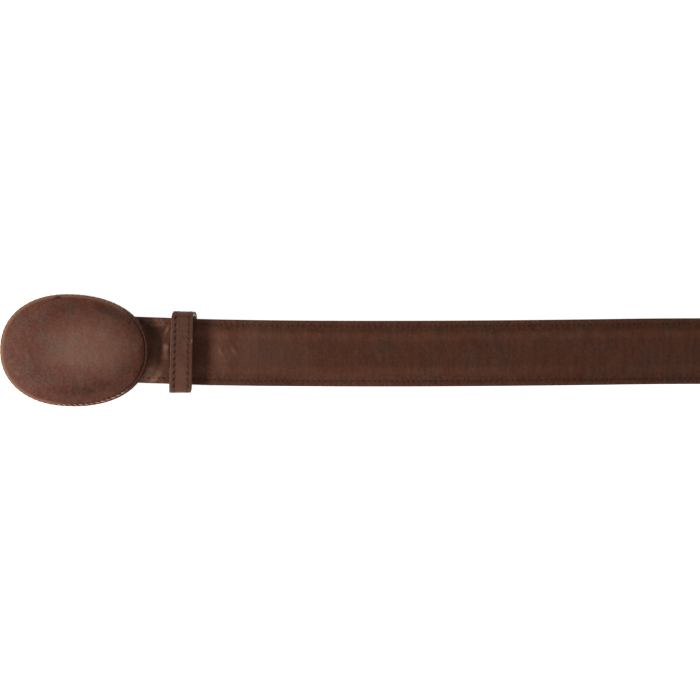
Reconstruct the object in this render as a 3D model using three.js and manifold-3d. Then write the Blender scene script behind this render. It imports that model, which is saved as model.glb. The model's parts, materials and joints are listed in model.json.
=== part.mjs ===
// Western belt with a leather-covered oval buckle, lying face up at its full length.
// Millimetres. +X runs from the buckle to the tip, +Y across the strap, +Z up from the floor.
// Pieces are placed from the buckle's bar, and the whole is centred on its box at the end.

import * as THREE from "three";
import { mergeVertices } from "three/addons/utils/BufferGeometryUtils.js";
import Module from "manifold-3d";

const wasm = await Module();
wasm.setup();

const { degToRad, lerp, smoothstep } = THREE.MathUtils;

const inch = 25.4;
const gap = 0.3;
const roundSides = 14;
const cutBeyond = 1;

// Strap
const strapWidth = 1.5 * inch;
const strapThickness = 3.2;
const edgeRound = 0.6;
const paddingRise = 1.5;
const paddingStart = 76;
const paddingRamp = 24;
const paddingEnd = 790;

// Holes and tip. The belt's size is measured from the bar to the middle hole.
const beltSize = 34 * inch;
const holeCount = 5;
const holePitch = inch;
const holeRadius = 2.5;
const lastHoleToTip = 100;
const tipLength = 24;
const tipHalfWidth = 1.5;
const tipEnd = beltSize + ((holeCount - 1) / 2) * holePitch + lastHoleToTip;

// Flap that folds round the bar and lies behind the strap
const flapEnd = 73.7;
const flapThickness = 2.2;
const flapSkive = 8;
const flapEndThickness = 1.3;
const noseThickness = 2.3;

// Buckle's bar, wire loop and post
const wireRadius = 1.5;
const wireSides = 10;
const tunnelRadius = 2.0;
const pinch = 14;
const loopHalfWidth = 22.85;
const loopReach = 15;
const loopCorner = 2.9;
const loopElbow = 3;
const loopSteps = 44;
const postFromBar = 57;
const postRadius = 1.9;
const postHeadRadius = 2.3;
const postLength = 9.5;

// Keeper: an outer band and its lining, resting on the floor under the flap
const keeperOuterThickness = 1.2;
const keeperLiningThickness = 1.0;
const keeperWidth = 13.1;
const keeperSpan = 46.5;
const keeperHeight = 16;
const keeperCorner = 5;
const keeperAlong = 37.4;
const keeperAcross = -0.2;
const keeperFrontLean = degToRad(-0.8);
const keeperRearLean = degToRad(3.4);
const keeperWall = keeperOuterThickness + gap + keeperLiningThickness;

// Heights above the floor
const flapUnder = keeperWall + gap;
const strapUnder = flapUnder + flapThickness + gap;
const barHeight = flapUnder + flapThickness + gap / 2;
const easeEnd = 108;
const easeStep = 4;

// Snaps that hold the flap: the left one beside the keeper, the right one past it
const snapAlongs = [25.4, 63.4];
const snapAcross = 0.5;
const snapCapRadius = 4.4;
const snapCapThickness = 1.2;
const snapCapFlat = 0.75 * snapCapRadius;
const snapCapShoulder = 0.45 * snapCapThickness;
const snapStemRadius = 1.5;
const snapBoreRadius = snapStemRadius + gap;
const snapBoreDepth = 1.8;

// Oval buckle, measured from the bar in its own flat frame. It has slid a little along its bar.
const buckleSlide = -1.75;
const ovalCentre = -26.9;
const ovalLeft = 40.4;
const ovalRight = 45.6;
const ovalHalfHeight = 32.25;
const ovalPower = 2.19;
const ovalSides = 44;
const ovalMeanRadius = (ovalLeft + ovalRight + 2 * ovalHalfHeight) / 4;
const backingLift = 7.05;
const backingThickness = 1.2;
const backingSlack = 0.5;
const coverThickness = 1.3;
const plateThickness = 1.4;
const rimWidth = 2.3;
const domeHeight = 6.0;
const domeSpread = 2.4;
const domeCrown = 1.8;
const domeRings = 9;
const crownRing = 0.6;

// Heading of the strap in plan, in degrees, at distances along it from the bar
const headings = [
  { along: 0, degrees: -2.1 },
  { along: 36, degrees: -2.1 },
  { along: 60, degrees: -1.1 },
  { along: 90, degrees: -0.55 },
  { along: 135, degrees: -0.13 },
  { along: 190, degrees: 0.3 },
  { along: 235, degrees: 0.57 },
  { along: 290, degrees: 0.85 },
  { along: 320, degrees: 0.3 },
  { along: 345, degrees: 0 },
];

// Padded face of the strap, from its edge inward: the share of the padding's rise
const paddingRows = [
  { inward: 3.2, share: 0 },
  { inward: 5.6, share: 0.28 },
  { inward: 7.8, share: 0.8 },
  { inward: 10.5, share: 0.96 },
  { inward: 15, share: 1 },
];

// Materials
function leather(colour) {
  return new THREE.MeshStandardMaterial({ color: colour, roughness: 0.62, metalness: 0 });
}
const faceLeather = leather(0x4e3126);
const coverLeather = leather(0x6b483c);
const liningLeather = leather(0x8f7f70);
const metal = new THREE.MeshStandardMaterial({ color: 0xa8a39a, roughness: 0.35, metalness: 1 });

function headingAt(along) {
  const next = headings.findIndex((row) => row.along > along);
  if (along <= 0 || next === 0) {
    return degToRad(headings[0].degrees);
  }
  if (next < 0) {
    return degToRad(headings.at(-1).degrees);
  }
  const before = headings[next - 1];
  const after = headings[next];
  const share = (along - before.along) / (after.along - before.along);
  return degToRad(lerp(before.degrees, after.degrees, share));
}

// The strap's centre line in plan, walked in short steps along the headings
const spineStep = 2;
const spine = [{ x: 0, y: 0 }];
for (let along = 0; along < tipEnd; along += spineStep) {
  const last = spine.at(-1);
  const heading = headingAt(along + spineStep / 2);
  spine.push({ x: last.x + spineStep * Math.cos(heading), y: last.y + spineStep * Math.sin(heading) });
}

// Turns a place along and across the strap into a point in plan
function planPoint(along, across, up) {
  const index = THREE.MathUtils.clamp(Math.floor(along / spineStep), 0, spine.length - 1);
  const heading = headingAt(along);
  const rest = along - index * spineStep;
  const x = spine[index].x + rest * Math.cos(heading) - across * Math.sin(heading);
  const y = spine[index].y + rest * Math.sin(heading) + across * Math.cos(heading);
  return new THREE.Vector3(x, y, up);
}

// Joins rings of equally many points into one closed skin. Open rows end in flat caps.
function loft(rings, closed = false) {
  const count = rings[0].length;
  const points = rings.flat();
  const faces = [];
  const pairs = closed ? rings.length : rings.length - 1;
  for (let ring = 0; ring < pairs; ring += 1) {
    const here = ring * count;
    const there = ((ring + 1) % rings.length) * count;
    for (let i = 0; i < count; i += 1) {
      const j = (i + 1) % count;
      faces.push(here + i, there + j, there + i, here + i, here + j, there + j);
    }
  }
  if (!closed) {
    for (const [ring, flip] of [[0, false], [rings.length - 1, true]]) {
      const middle = rings[ring].reduce((sum, point) => sum.add(point), new THREE.Vector3());
      points.push(middle.divideScalar(count));
      for (let i = 0; i < count; i += 1) {
        const a = ring * count + i;
        const b = ring * count + ((i + 1) % count);
        faces.push(...(flip ? [a, b, points.length - 1] : [b, a, points.length - 1]));
      }
    }
  }
  const geometry = new THREE.BufferGeometry().setFromPoints(points);
  geometry.setIndex(signedVolume(points, faces) < 0 ? faces.reverse() : faces);
  return geometry;
}

// Six times the volume inside a skin: below zero where its faces point inward
function signedVolume(points, faces) {
  let volume = 0;
  for (let i = 0; i < faces.length; i += 3) {
    const [a, b, c] = faces.slice(i, i + 3).map((index) => points[index]);
    volume += a.dot(b.clone().cross(c));
  }
  return volume;
}

// Joining and cutting
function toSolid(geometry) {
  const bare = geometry.clone();
  bare.deleteAttribute("normal");
  bare.deleteAttribute("uv");
  const merged = mergeVertices(bare, 1e-4);
  const vertProperties = new Float32Array(merged.attributes.position.array);
  const triVerts = new Uint32Array(merged.index.array);
  return new wasm.Manifold(new wasm.Mesh({ numProp: 3, vertProperties, triVerts }));
}

function toGeometry(solid) {
  const mesh = solid.getMesh();
  const geometry = new THREE.BufferGeometry();
  geometry.setAttribute("position", new THREE.BufferAttribute(mesh.vertProperties, 3));
  geometry.setIndex(new THREE.BufferAttribute(mesh.triVerts, 1));
  return geometry;
}

// A round cutter standing on a height
function uprightCylinder(radius, bottom, top) {
  const geometry = new THREE.CylinderGeometry(radius, radius, top - bottom, roundSides);
  geometry.rotateX(Math.PI / 2);
  geometry.translate(0, 0, (top + bottom) / 2);
  return geometry;
}

// A turned solid standing upright, from rows of radius and height
function turned(rows) {
  const profile = rows.map(({ radius, up }) => new THREE.Vector2(radius, up));
  const geometry = new THREE.LatheGeometry(profile, roundSides);
  geometry.rotateX(Math.PI / 2);
  return geometry;
}

function named(name, geometry, material) {
  geometry.computeVertexNormals();
  const mesh = new THREE.Mesh(geometry, material);
  mesh.name = name;
  return mesh;
}

// Strap: one strip, followed from the flap's end round the bar to the tip
function paddingAt(along) {
  const begins = smoothstep(along, paddingStart, paddingStart + paddingRamp);
  const ends = smoothstep(along, paddingEnd - paddingRamp, paddingEnd);
  return paddingRise * begins * (1 - ends);
}

function stripRows() {
  const rows = [];
  const flapTop = flapUnder + flapThickness;
  for (const along of [flapEnd, flapEnd - flapSkive, (flapEnd + pinch) / 2]) {
    const thin = smoothstep(flapEnd - along, 0, flapSkive);
    rows.push({ along, up: flapTop, thickness: lerp(flapEndThickness, flapThickness, thin) });
  }
  const blendSteps = 5;
  for (let step = 0; step < blendSteps; step += 1) {
    const share = step / blendSteps;
    const up = lerp(flapTop, barHeight - tunnelRadius, smoothstep(share, 0, 1));
    rows.push({ along: pinch * (1 - share), up, thickness: flapThickness });
  }
  const noseSteps = 10;
  for (let step = 0; step <= noseSteps; step += 1) {
    const angle = -Math.PI / 2 - (Math.PI * step) / noseSteps;
    const along = tunnelRadius * Math.cos(angle);
    const up = barHeight + tunnelRadius * Math.sin(angle);
    rows.push({ along, up, thickness: noseThickness });
  }
  for (let step = 1; step <= blendSteps; step += 1) {
    const share = step / blendSteps;
    const up = lerp(barHeight + tunnelRadius, strapUnder, smoothstep(share, 0, 1));
    const thickness = lerp(noseThickness, strapThickness, share);
    rows.push({ along: pinch * share, up, thickness });
  }
  const faceAlongs = [0.5, 0.75, 1].map((share) => share * flapEnd);
  for (let along = paddingStart; along < easeEnd; along += easeStep) {
    faceAlongs.push(along);
  }
  for (let along = easeEnd; along < paddingEnd - paddingRamp; along += inch) {
    faceAlongs.push(along);
  }
  for (const share of [0, 0.25, 0.5, 0.75, 1]) {
    faceAlongs.push(lerp(paddingEnd - paddingRamp, paddingEnd, share));
  }
  for (const along of faceAlongs) {
    const down = smoothstep(along, flapEnd + gap, easeEnd);
    rows.push({ along, up: strapUnder * (1 - down), thickness: strapThickness });
  }
  const tipSteps = 9;
  for (let step = 0; step <= tipSteps; step += 1) {
    const angle = (Math.PI / 2) * (step / tipSteps);
    const along = tipEnd - tipLength * (1 - Math.sin(angle));
    const halfWidth = Math.max((strapWidth / 2) * Math.cos(angle), tipHalfWidth);
    rows.push({ along, up: 0, thickness: strapThickness, halfWidth });
  }
  return rows;
}

function strapSection(halfWidth, thickness, padding) {
  const squeeze = halfWidth / (strapWidth / 2);
  const half = [
    { inward: edgeRound, up: 0 },
    { inward: 0, up: edgeRound },
    { inward: 0, up: thickness - edgeRound },
    { inward: edgeRound, up: thickness },
    ...paddingRows.map(({ inward, share }) => ({ inward, up: thickness + padding * share })),
  ].map(({ inward, up }) => ({ across: halfWidth - inward * squeeze, up }));
  return [...half, ...half.map(({ across, up }) => ({ across: -across, up })).reverse()];
}

function strapGeometry() {
  const rows = stripRows();
  const rings = rows.map((row, index) => {
    const before = rows[Math.max(index - 1, 0)];
    const after = rows[Math.min(index + 1, rows.length - 1)];
    const slope = new THREE.Vector2(after.along - before.along, after.up - before.up).normalize();
    const section = strapSection(row.halfWidth ?? strapWidth / 2, row.thickness, paddingAt(row.along));
    return section.map(({ across, up }) => {
      return planPoint(row.along - up * slope.y, across, row.up + up * slope.x);
    });
  });
  return loft(rings);
}

function cutAt(solid, along, across, geometry) {
  const place = planPoint(along, across, 0);
  geometry.translate(place.x, place.y, 0);
  return solid.subtract(toSolid(geometry));
}

function makeStrap() {
  let solid = toSolid(strapGeometry());
  const firstHole = beltSize - ((holeCount - 1) / 2) * holePitch;
  for (let hole = 0; hole < holeCount; hole += 1) {
    const cutter = uprightCylinder(holeRadius, -cutBeyond, strapThickness + cutBeyond);
    solid = cutAt(solid, firstHole + hole * holePitch, 0, cutter);
  }
  for (const along of snapAlongs) {
    const cutter = uprightCylinder(snapBoreRadius, flapUnder - cutBeyond, strapUnder + snapBoreDepth);
    solid = cutAt(solid, along, snapAcross, cutter);
  }
  return named("strap", toGeometry(solid), faceLeather);
}

// Snaps: a low cap under the flap, and a stem through it into the strap's blind bore
function makeSnap(name, along) {
  const capTop = flapUnder - gap;
  const capBottom = capTop - snapCapThickness;
  const geometry = turned([
    { radius: 0, up: capBottom },
    { radius: snapCapFlat, up: capBottom },
    { radius: snapCapRadius, up: capBottom + snapCapShoulder },
    { radius: snapCapRadius, up: capTop },
    { radius: snapStemRadius, up: capTop },
    { radius: snapStemRadius, up: strapUnder + snapBoreDepth - gap },
    { radius: 0, up: strapUnder + snapBoreDepth - gap },
  ]);
  const place = planPoint(along, snapAcross, 0);
  geometry.translate(place.x, place.y, 0);
  return named(name, toGeometry(toSolid(geometry)), metal);
}

// Keeper: a rounded loop round both layers. Its front and rear lean differently.
function keeperPath() {
  const halfSpan = keeperSpan / 2;
  const straightSpan = halfSpan - keeperCorner;
  const corners = [
    { across: straightSpan, up: keeperCorner, from: -90 },
    { across: straightSpan, up: keeperHeight - keeperCorner, from: 0 },
    { across: -straightSpan, up: keeperHeight - keeperCorner, from: 90 },
    { across: -straightSpan, up: keeperCorner, from: 180 },
  ];
  const turnSteps = 5;
  return corners.flatMap(({ across, up, from }) => {
    return Array.from({ length: turnSteps + 1 }, (_, step) => {
      const angle = degToRad(from + (90 * step) / turnSteps);
      const out = { across: Math.cos(angle), up: Math.sin(angle) };
      return { across: across + keeperCorner * out.across, up: up + keeperCorner * out.up, out };
    });
  });
}

function keeperMiddle(across, up) {
  const front = across * Math.tan(keeperFrontLean);
  const rear = across * Math.tan(keeperRearLean);
  return keeperAlong + lerp(rear, front, up / keeperHeight);
}

function makeKeeperBand(name, depthOuter, depthInner, material) {
  const corners = [
    { side: -0.5, depth: depthOuter },
    { side: -0.5, depth: depthInner },
    { side: 0.5, depth: depthInner },
    { side: 0.5, depth: depthOuter },
  ];
  const rings = keeperPath().map(({ across, up, out }) => {
    return corners.map(({ side, depth }) => {
      const along = keeperMiddle(across, up) + side * keeperWidth;
      const shifted = across - depth * out.across + keeperAcross;
      return planPoint(along, shifted, up - depth * out.up);
    });
  });
  return named(name, toGeometry(toSolid(loft(rings, true))), material);
}

// Buckle pieces are layers over one oval, in a flat frame with the bar's centre at the origin
function ovalRing({ scale, up }) {
  return Array.from({ length: ovalSides }, (_, side) => {
    const angle = (2 * Math.PI * side) / ovalSides;
    const reach = Math.cos(angle) < 0 ? ovalLeft : ovalRight;
    const power = 2 / ovalPower;
    const x = Math.sign(Math.cos(angle)) * reach * Math.abs(Math.cos(angle)) ** power;
    const y = Math.sign(Math.sin(angle)) * ovalHalfHeight * Math.abs(Math.sin(angle)) ** power;
    return new THREE.Vector3(ovalCentre + x * scale, y * scale, up);
  });
}

// Dome over the oval, from its crown outward to its foot, moved in by a depth below its face
function domeRows(foot, depth) {
  const footScale = 1 - rimWidth / ovalMeanRadius - depth / ovalMeanRadius;
  const height = domeHeight - depth;
  return Array.from({ length: domeRings }, (_, ring) => {
    const angle = (Math.PI / 2) * ((ring + crownRing) / (domeRings - 1 + crownRing));
    const scale = footScale * Math.sin(angle) ** (2 / domeSpread);
    return { scale, up: foot + height * Math.cos(angle) ** (2 / domeCrown) };
  });
}

const coverUnder = backingLift + backingThickness + gap;
const domeFoot = coverUnder + coverThickness;

function makeCover() {
  const inner = domeRows(domeFoot, coverThickness);
  inner.at(-1).up = coverUnder;
  const rows = [
    ...domeRows(domeFoot, 0),
    { scale: 1 - edgeRound / ovalMeanRadius, up: domeFoot },
    { scale: 1, up: domeFoot - edgeRound },
    { scale: 1, up: coverUnder },
    ...inner.reverse(),
  ];
  return named("buckle_cover", toGeometry(toSolid(loft(rows.map(ovalRing)))), coverLeather);
}

// Height of a dome over a place in the buckle's frame, at a depth below the cover's face
function domeHeightAt(x, y, depth) {
  const reach = x < ovalCentre ? ovalLeft : ovalRight;
  const along = (Math.abs(x - ovalCentre) / reach) ** ovalPower;
  const scale = (along + (Math.abs(y) / ovalHalfHeight) ** ovalPower) ** (1 / ovalPower);
  const footScale = 1 - (rimWidth + depth) / ovalMeanRadius;
  const rise = (1 - (scale / footScale) ** domeSpread) ** (1 / domeCrown);
  return domeFoot + (domeHeight - depth) * rise;
}

const plateDepth = coverThickness + gap;
const plateMiddle = plateDepth + plateThickness / 2;

// The wire loop: down through the backing, out to the bar, across and back up
function makeLoop() {
  const top = domeHeightAt(-loopReach, loopHalfWidth, plateMiddle);
  const corners = [
    new THREE.Vector3(-loopReach, -loopHalfWidth, top),
    new THREE.Vector3(-loopReach, -loopHalfWidth, loopElbow),
    new THREE.Vector3(0, -loopHalfWidth, 0),
    new THREE.Vector3(0, loopHalfWidth, 0),
    new THREE.Vector3(-loopReach, loopHalfWidth, loopElbow),
    new THREE.Vector3(-loopReach, loopHalfWidth, top),
  ];
  const path = new THREE.CurvePath();
  let start = corners[0];
  for (let index = 1; index < corners.length - 1; index += 1) {
    const corner = corners[index];
    const step = (other) => other.clone().sub(corner).setLength(loopCorner).add(corner);
    const entry = step(corners[index - 1]);
    const exit = step(corners[index + 1]);
    path.add(new THREE.LineCurve3(start, entry));
    path.add(new THREE.QuadraticBezierCurve3(entry, corner, exit));
    start = exit;
  }
  path.add(new THREE.LineCurve3(start, corners.at(-1)));
  const section = new THREE.Shape().absarc(0, 0, wireRadius, 0, 2 * Math.PI);
  const options = { steps: loopSteps, curveSegments: wireSides, bevelEnabled: false, extrudePath: path };
  return toSolid(new THREE.ExtrudeGeometry(section, options));
}

// The post that goes into a hole of the strap, with a rounded head
function makePost() {
  const middle = backingLift - postLength + postHeadRadius;
  const shoulder = Math.acos(postRadius / postHeadRadius);
  const headRows = [-Math.PI / 3, -Math.PI / 6, 0, shoulder].map((angle) => {
    return { radius: postHeadRadius * Math.cos(angle), up: middle + postHeadRadius * Math.sin(angle) };
  });
  const top = domeHeightAt(-postFromBar, 0, plateMiddle);
  const geometry = turned([
    { radius: 0, up: middle - postHeadRadius },
    ...headRows,
    { radius: postRadius, up: top },
    { radius: 0, up: top },
  ]);
  geometry.translate(-postFromBar, 0, 0);
  return toSolid(geometry);
}

function makePlate() {
  const face = domeRows(domeFoot, plateDepth);
  const back = domeRows(domeFoot, plateDepth + plateThickness);
  face.at(-1).up = coverUnder;
  back.at(-1).up = coverUnder;
  const plate = toSolid(loft([...face, ...back.reverse()].map(ovalRing)));
  return named("buckle_plate", toGeometry(plate.add(makeLoop()).add(makePost())), metal);
}

function makeBacking() {
  const heights = [backingLift, backingLift + backingThickness];
  let solid = toSolid(loft(heights.map((up) => ovalRing({ scale: 1, up }))));
  const openings = [
    { x: -loopReach, y: -loopHalfWidth, radius: wireRadius + backingSlack },
    { x: -loopReach, y: loopHalfWidth, radius: wireRadius + backingSlack },
    { x: -postFromBar, y: 0, radius: postRadius + backingSlack },
  ];
  for (const { x, y, radius } of openings) {
    const cutter = uprightCylinder(radius, heights[0] - cutBeyond, heights[1] + cutBeyond);
    cutter.translate(x, y, 0);
    solid = solid.subtract(toSolid(cutter));
  }
  return named("buckle_backing", toGeometry(solid), coverLeather);
}

// The buckle hangs on its bar and tilts until the post's head rests on the floor
function makeBuckle() {
  const headMiddle = backingLift - postLength + postHeadRadius;
  const reach = Math.hypot(postFromBar, headMiddle);
  const tilt = Math.asin((barHeight - postHeadRadius) / reach) + Math.atan2(headMiddle, postFromBar);
  const buckle = new THREE.Group();
  buckle.add(makeCover(), makePlate(), makeBacking());
  buckle.rotation.set(0, -tilt, headingAt(0), "ZYX");
  buckle.position.set(0, 0, barHeight);
  buckle.translateY(buckleSlide);
  return buckle;
}

const belt = new THREE.Group();
belt.add(makeStrap());
belt.add(makeKeeperBand("keeper", 0, keeperOuterThickness, coverLeather));
belt.add(makeKeeperBand("keeper_lining", keeperOuterThickness + gap, keeperWall, liningLeather));
snapAlongs.forEach((along, index) => belt.add(makeSnap(`snap_${index + 1}`, along)));
belt.add(makeBuckle());

const middle = new THREE.Box3().setFromObject(belt, true).getCenter(new THREE.Vector3());
belt.position.set(-middle.x, -middle.y, 0);

export default belt;
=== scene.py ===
"""Looks of a western belt with a leather-covered oval buckle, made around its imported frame.

Lengths here are millimetres, apart from the few whose comment says metres. They are measured
along the strap from the buckle's bar, across the strap, and up from the floor. place() turns
them into the frame's metres.
"""
import json
import math

import bpy
import numpy as np
from mathutils import Matrix, Vector


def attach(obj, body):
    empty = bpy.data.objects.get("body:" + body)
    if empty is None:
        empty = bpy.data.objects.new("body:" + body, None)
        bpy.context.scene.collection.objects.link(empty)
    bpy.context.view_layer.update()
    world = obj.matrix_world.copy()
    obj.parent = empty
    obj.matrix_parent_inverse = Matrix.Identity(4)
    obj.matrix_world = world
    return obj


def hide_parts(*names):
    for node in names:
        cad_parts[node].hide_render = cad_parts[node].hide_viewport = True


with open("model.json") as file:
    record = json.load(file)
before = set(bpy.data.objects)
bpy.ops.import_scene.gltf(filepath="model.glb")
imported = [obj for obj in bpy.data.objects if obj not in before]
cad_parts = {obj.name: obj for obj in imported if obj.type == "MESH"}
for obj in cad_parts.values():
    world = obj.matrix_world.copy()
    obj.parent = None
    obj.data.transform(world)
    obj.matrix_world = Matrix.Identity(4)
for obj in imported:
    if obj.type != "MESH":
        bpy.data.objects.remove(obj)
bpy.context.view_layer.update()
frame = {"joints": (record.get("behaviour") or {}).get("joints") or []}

MM = 0.001
INCH = 25.4
GAP = 0.3

# Strap
STRAP_WIDTH = 1.5 * INCH
STRAP_THICK = 3.2
PADDING_RISE = 1.5
PADDING_START = 76.0
PADDING_RAMP = 24.0
PADDING_END = 790.0
BELT_SIZE = 34 * INCH
HOLE_COUNT = 5
HOLE_PITCH = INCH
HOLE_RADIUS = 2.5
LAST_HOLE_TO_TIP = 100.0
TIP_LENGTH = 24.0
TIP_END = BELT_SIZE + (HOLE_COUNT - 1) / 2 * HOLE_PITCH + LAST_HOLE_TO_TIP
FACE_ROUND = 0.8
BACK_ROUND = 0.5

# Fold round the bar
FLAP_END = 73.7
FLAP_THICK = 2.2
FLAP_SKIVE = 8.0
FLAP_END_THICK = 1.3
NOSE_THICK = 2.3
TUNNEL_RADIUS = 2.0
PINCH = 14.0
EASE_END = 108.0

# Keeper
KEEPER_OUTER = 1.2
KEEPER_LINING = 1.0
KEEPER_WIDTH = 12.6
KEEPER_SPAN = 47.0
KEEPER_HEIGHT = 16.0
KEEPER_CORNER = 5.0
KEEPER_ALONG = 37.1
KEEPER_ACROSS = -0.42
KEEPER_FRONT_LEAN = math.radians(-0.8)
KEEPER_REAR_LEAN = math.radians(3.4)
KEEPER_WALL = KEEPER_OUTER + GAP + KEEPER_LINING

# Heights above the floor
FLAP_UNDER = KEEPER_WALL + GAP
STRAP_UNDER = FLAP_UNDER + FLAP_THICK + GAP
BAR_UP = FLAP_UNDER + FLAP_THICK + GAP / 2

# Snaps
SNAP_ALONGS = (25.4, 63.4)
SNAP_ACROSS = 0.5
SNAP_CAP_RADIUS = 4.4
SNAP_CAP_THICK = 1.2
SNAP_STEM_RADIUS = 1.5
SNAP_BORE_DEPTH = 1.8

# Oval buckle, in its own flat frame, which has slid a little along the bar
BUCKLE_SLIDE = -1.75
OVAL_CENTRE = -26.9
OVAL_LEFT = 40.4
OVAL_RIGHT = 45.6
OVAL_HALF = 32.25
OVAL_POWER = 2.19
OVAL_MEAN = (OVAL_LEFT + OVAL_RIGHT + 2 * OVAL_HALF) / 4
BACKING_LIFT = 7.05
BACKING_THICK = 1.2
BACKING_SLACK = 0.5
COVER_THICK = 1.3
PLATE_THICK = 1.4
RIM_WIDTH = 2.3
DOME_HEIGHT = 6.0
DOME_SPREAD = 2.4
DOME_CROWN = 1.8
COVER_UNDER = BACKING_LIFT + BACKING_THICK + GAP
DOME_FOOT = COVER_UNDER + COVER_THICK

# Wire loop and post
WIRE_RADIUS = 1.5
LOOP_HALF = 22.85
LOOP_REACH = 15.0
LOOP_CORNER = 2.9
LOOP_ELBOW = 3.0
POST_FROM_BAR = 57.0
POST_RADIUS = 1.9
POST_HEAD_RADIUS = 2.3
POST_LENGTH = 9.5

# Stitches
STITCH_INSET = 3.2
STITCH_PITCH = 3.2
STITCH_LENGTH = 2.3
STITCH_RADIUS = 0.3
BACK_STITCH_RADIUS = 0.24
KEEPER_STITCH_PITCH = 3.87
RIM_STITCH_PITCH = 3.2

# The photograph's frame: 700 pixels across, and its scale on the strap
PHOTO_SIZE = 700
MM_PER_PIXEL = STRAP_WIDTH / 66.1
BAR_PIXEL = (118.0, 349.0)
CAMERA_HEIGHT = 1500.0
SENSOR_WIDTH = 36.0

# Heading of the strap in plan, in degrees, at distances along it from the bar
HEADINGS = (
    # along, degrees
    (0, -2.1),
    (36, -2.1),
    (60, -1.1),
    (90, -0.55),
    (135, -0.13),
    (190, 0.3),
    (235, 0.57),
    (290, 0.85),
    (320, 0.3),
    (345, 0.0),
)

# Padded face of the strap, from its edge inward: the share of the padding's rise
PADDING_ROWS = (
    # inward, share
    (3.2, 0.0),
    (4.6, 0.06),
    (5.6, 0.24),
    (6.7, 0.6),
    (7.8, 0.82),
    (9.0, 0.92),
    (10.5, 0.965),
    (15.0, 1.0),
)

BAR = Vector(frame["joints"][0]["pos_m"])


def smooth(value, low, high):
    share = np.clip((np.asarray(value, float) - low) / (high - low), 0.0, 1.0)
    return share * share * (3 - 2 * share)


def mix(low, high, share):
    return low + (high - low) * share


# Plan of the strap: its centre line, walked in short steps along the headings
SPINE_START = -100.0
SPINE_STEP = 1.0
heading_along, heading_degrees = np.array(HEADINGS, float).T
spine_along = np.arange(SPINE_START, TIP_END + 2 * SPINE_STEP, SPINE_STEP)
step_headings = np.radians(np.interp(spine_along + SPINE_STEP / 2, heading_along, heading_degrees))
spine_x = np.concatenate([[0.0], np.cumsum(np.cos(step_headings[:-1]) * SPINE_STEP)])
spine_y = np.concatenate([[0.0], np.cumsum(np.sin(step_headings[:-1]) * SPINE_STEP)])
spine_x -= np.interp(0.0, spine_along, spine_x)
spine_y -= np.interp(0.0, spine_along, spine_y)


def place(along, across, up):
    """Points in the frame's metres, from places along and across the strap and heights."""
    along, across, up = np.broadcast_arrays(*(np.asarray(v, float) for v in (along, across, up)))
    heading = np.radians(np.interp(along, heading_along, heading_degrees))
    x = np.interp(along, spine_along, spine_x) - across * np.sin(heading)
    y = np.interp(along, spine_along, spine_y) + across * np.cos(heading)
    return np.stack([x * MM + BAR.x, y * MM + BAR.y, up * MM], axis=-1)


# Meshes
CIRCLE_SIDES = 40
TUBE_SIDES = 20


def linked(name, data):
    """A new object in the scene."""
    item = bpy.data.objects.new(name, data)
    bpy.context.scene.collection.objects.link(item)
    return item


def mesh_object(name, points, faces, smooth_faces=True):
    mesh = bpy.data.meshes.new(name)
    mesh.from_pydata([tuple(p) for p in points], [], [tuple(int(i) for i in f) for f in faces])
    mesh.validate()
    mesh.update()
    mesh.polygons.foreach_set("use_smooth", [smooth_faces] * len(mesh.polygons))
    return linked(name, mesh)


def circle(radius, sides=CIRCLE_SIDES):
    """Points of a flat circle about the upright axis."""
    angles = np.linspace(0, 2 * math.pi, sides, endpoint=False)
    return np.stack([radius * np.cos(angles), radius * np.sin(angles), 0 * angles], axis=-1)


def grid_faces(rows, columns, wrap_rows=False):
    """Quads over a grid of points stored row by row, where each row is a closed ring."""
    i = np.arange(rows if wrap_rows else rows - 1)[:, None]
    j = np.arange(columns)[None, :]
    here = i * columns
    there = (i + 1) % rows * columns
    right = (j + 1) % columns
    quads = np.stack([here + j, there + j, there + right, here + right], axis=-1)
    return quads.reshape(-1, 4)


def lofted(rings, closed=False):
    """Points and faces of a skin over rings of equally many points, with capped ends."""
    rings = np.asarray(rings, float)
    rows, columns = rings.shape[:2]
    points = rings.reshape(-1, 3)
    faces = grid_faces(rows, columns, wrap_rows=closed).tolist()
    if not closed:
        points = np.concatenate([points, [rings[0].mean(axis=0)], [rings[-1].mean(axis=0)]])
        first, last = rows * columns, rows * columns + 1
        end = (rows - 1) * columns
        for j in range(columns):
            k = (j + 1) % columns
            faces.append([first, j, k])
            faces.append([last, end + k, end + j])
    corners = [(f[0], f[a], f[a + 1]) for f in faces for a in range(1, len(f) - 1)]
    a, b, c = (points[list(index)] for index in zip(*corners))
    if np.einsum("ij,ij->i", a, np.cross(b, c)).sum() < 0:
        faces = [f[::-1] for f in faces]
    return points, faces


def joined(parts):
    """One list of points and faces from several."""
    points, faces, start = [], [], 0
    for part_points, part_faces in parts:
        points.append(np.asarray(part_points))
        faces.extend([[i + start for i in f] for f in part_faces])
        start += len(part_points)
    return np.concatenate(points), faces


def add_floats(piece, name, values):
    """One number for each vertex, and 0 for the vertices past the end of the values."""
    values = np.ravel(values)
    numbers = np.zeros(len(piece.data.vertices), np.float32)
    numbers[:values.size] = values
    layer = piece.data.attributes.new(name, "FLOAT", "POINT")
    layer.data.foreach_set("value", numbers)


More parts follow.
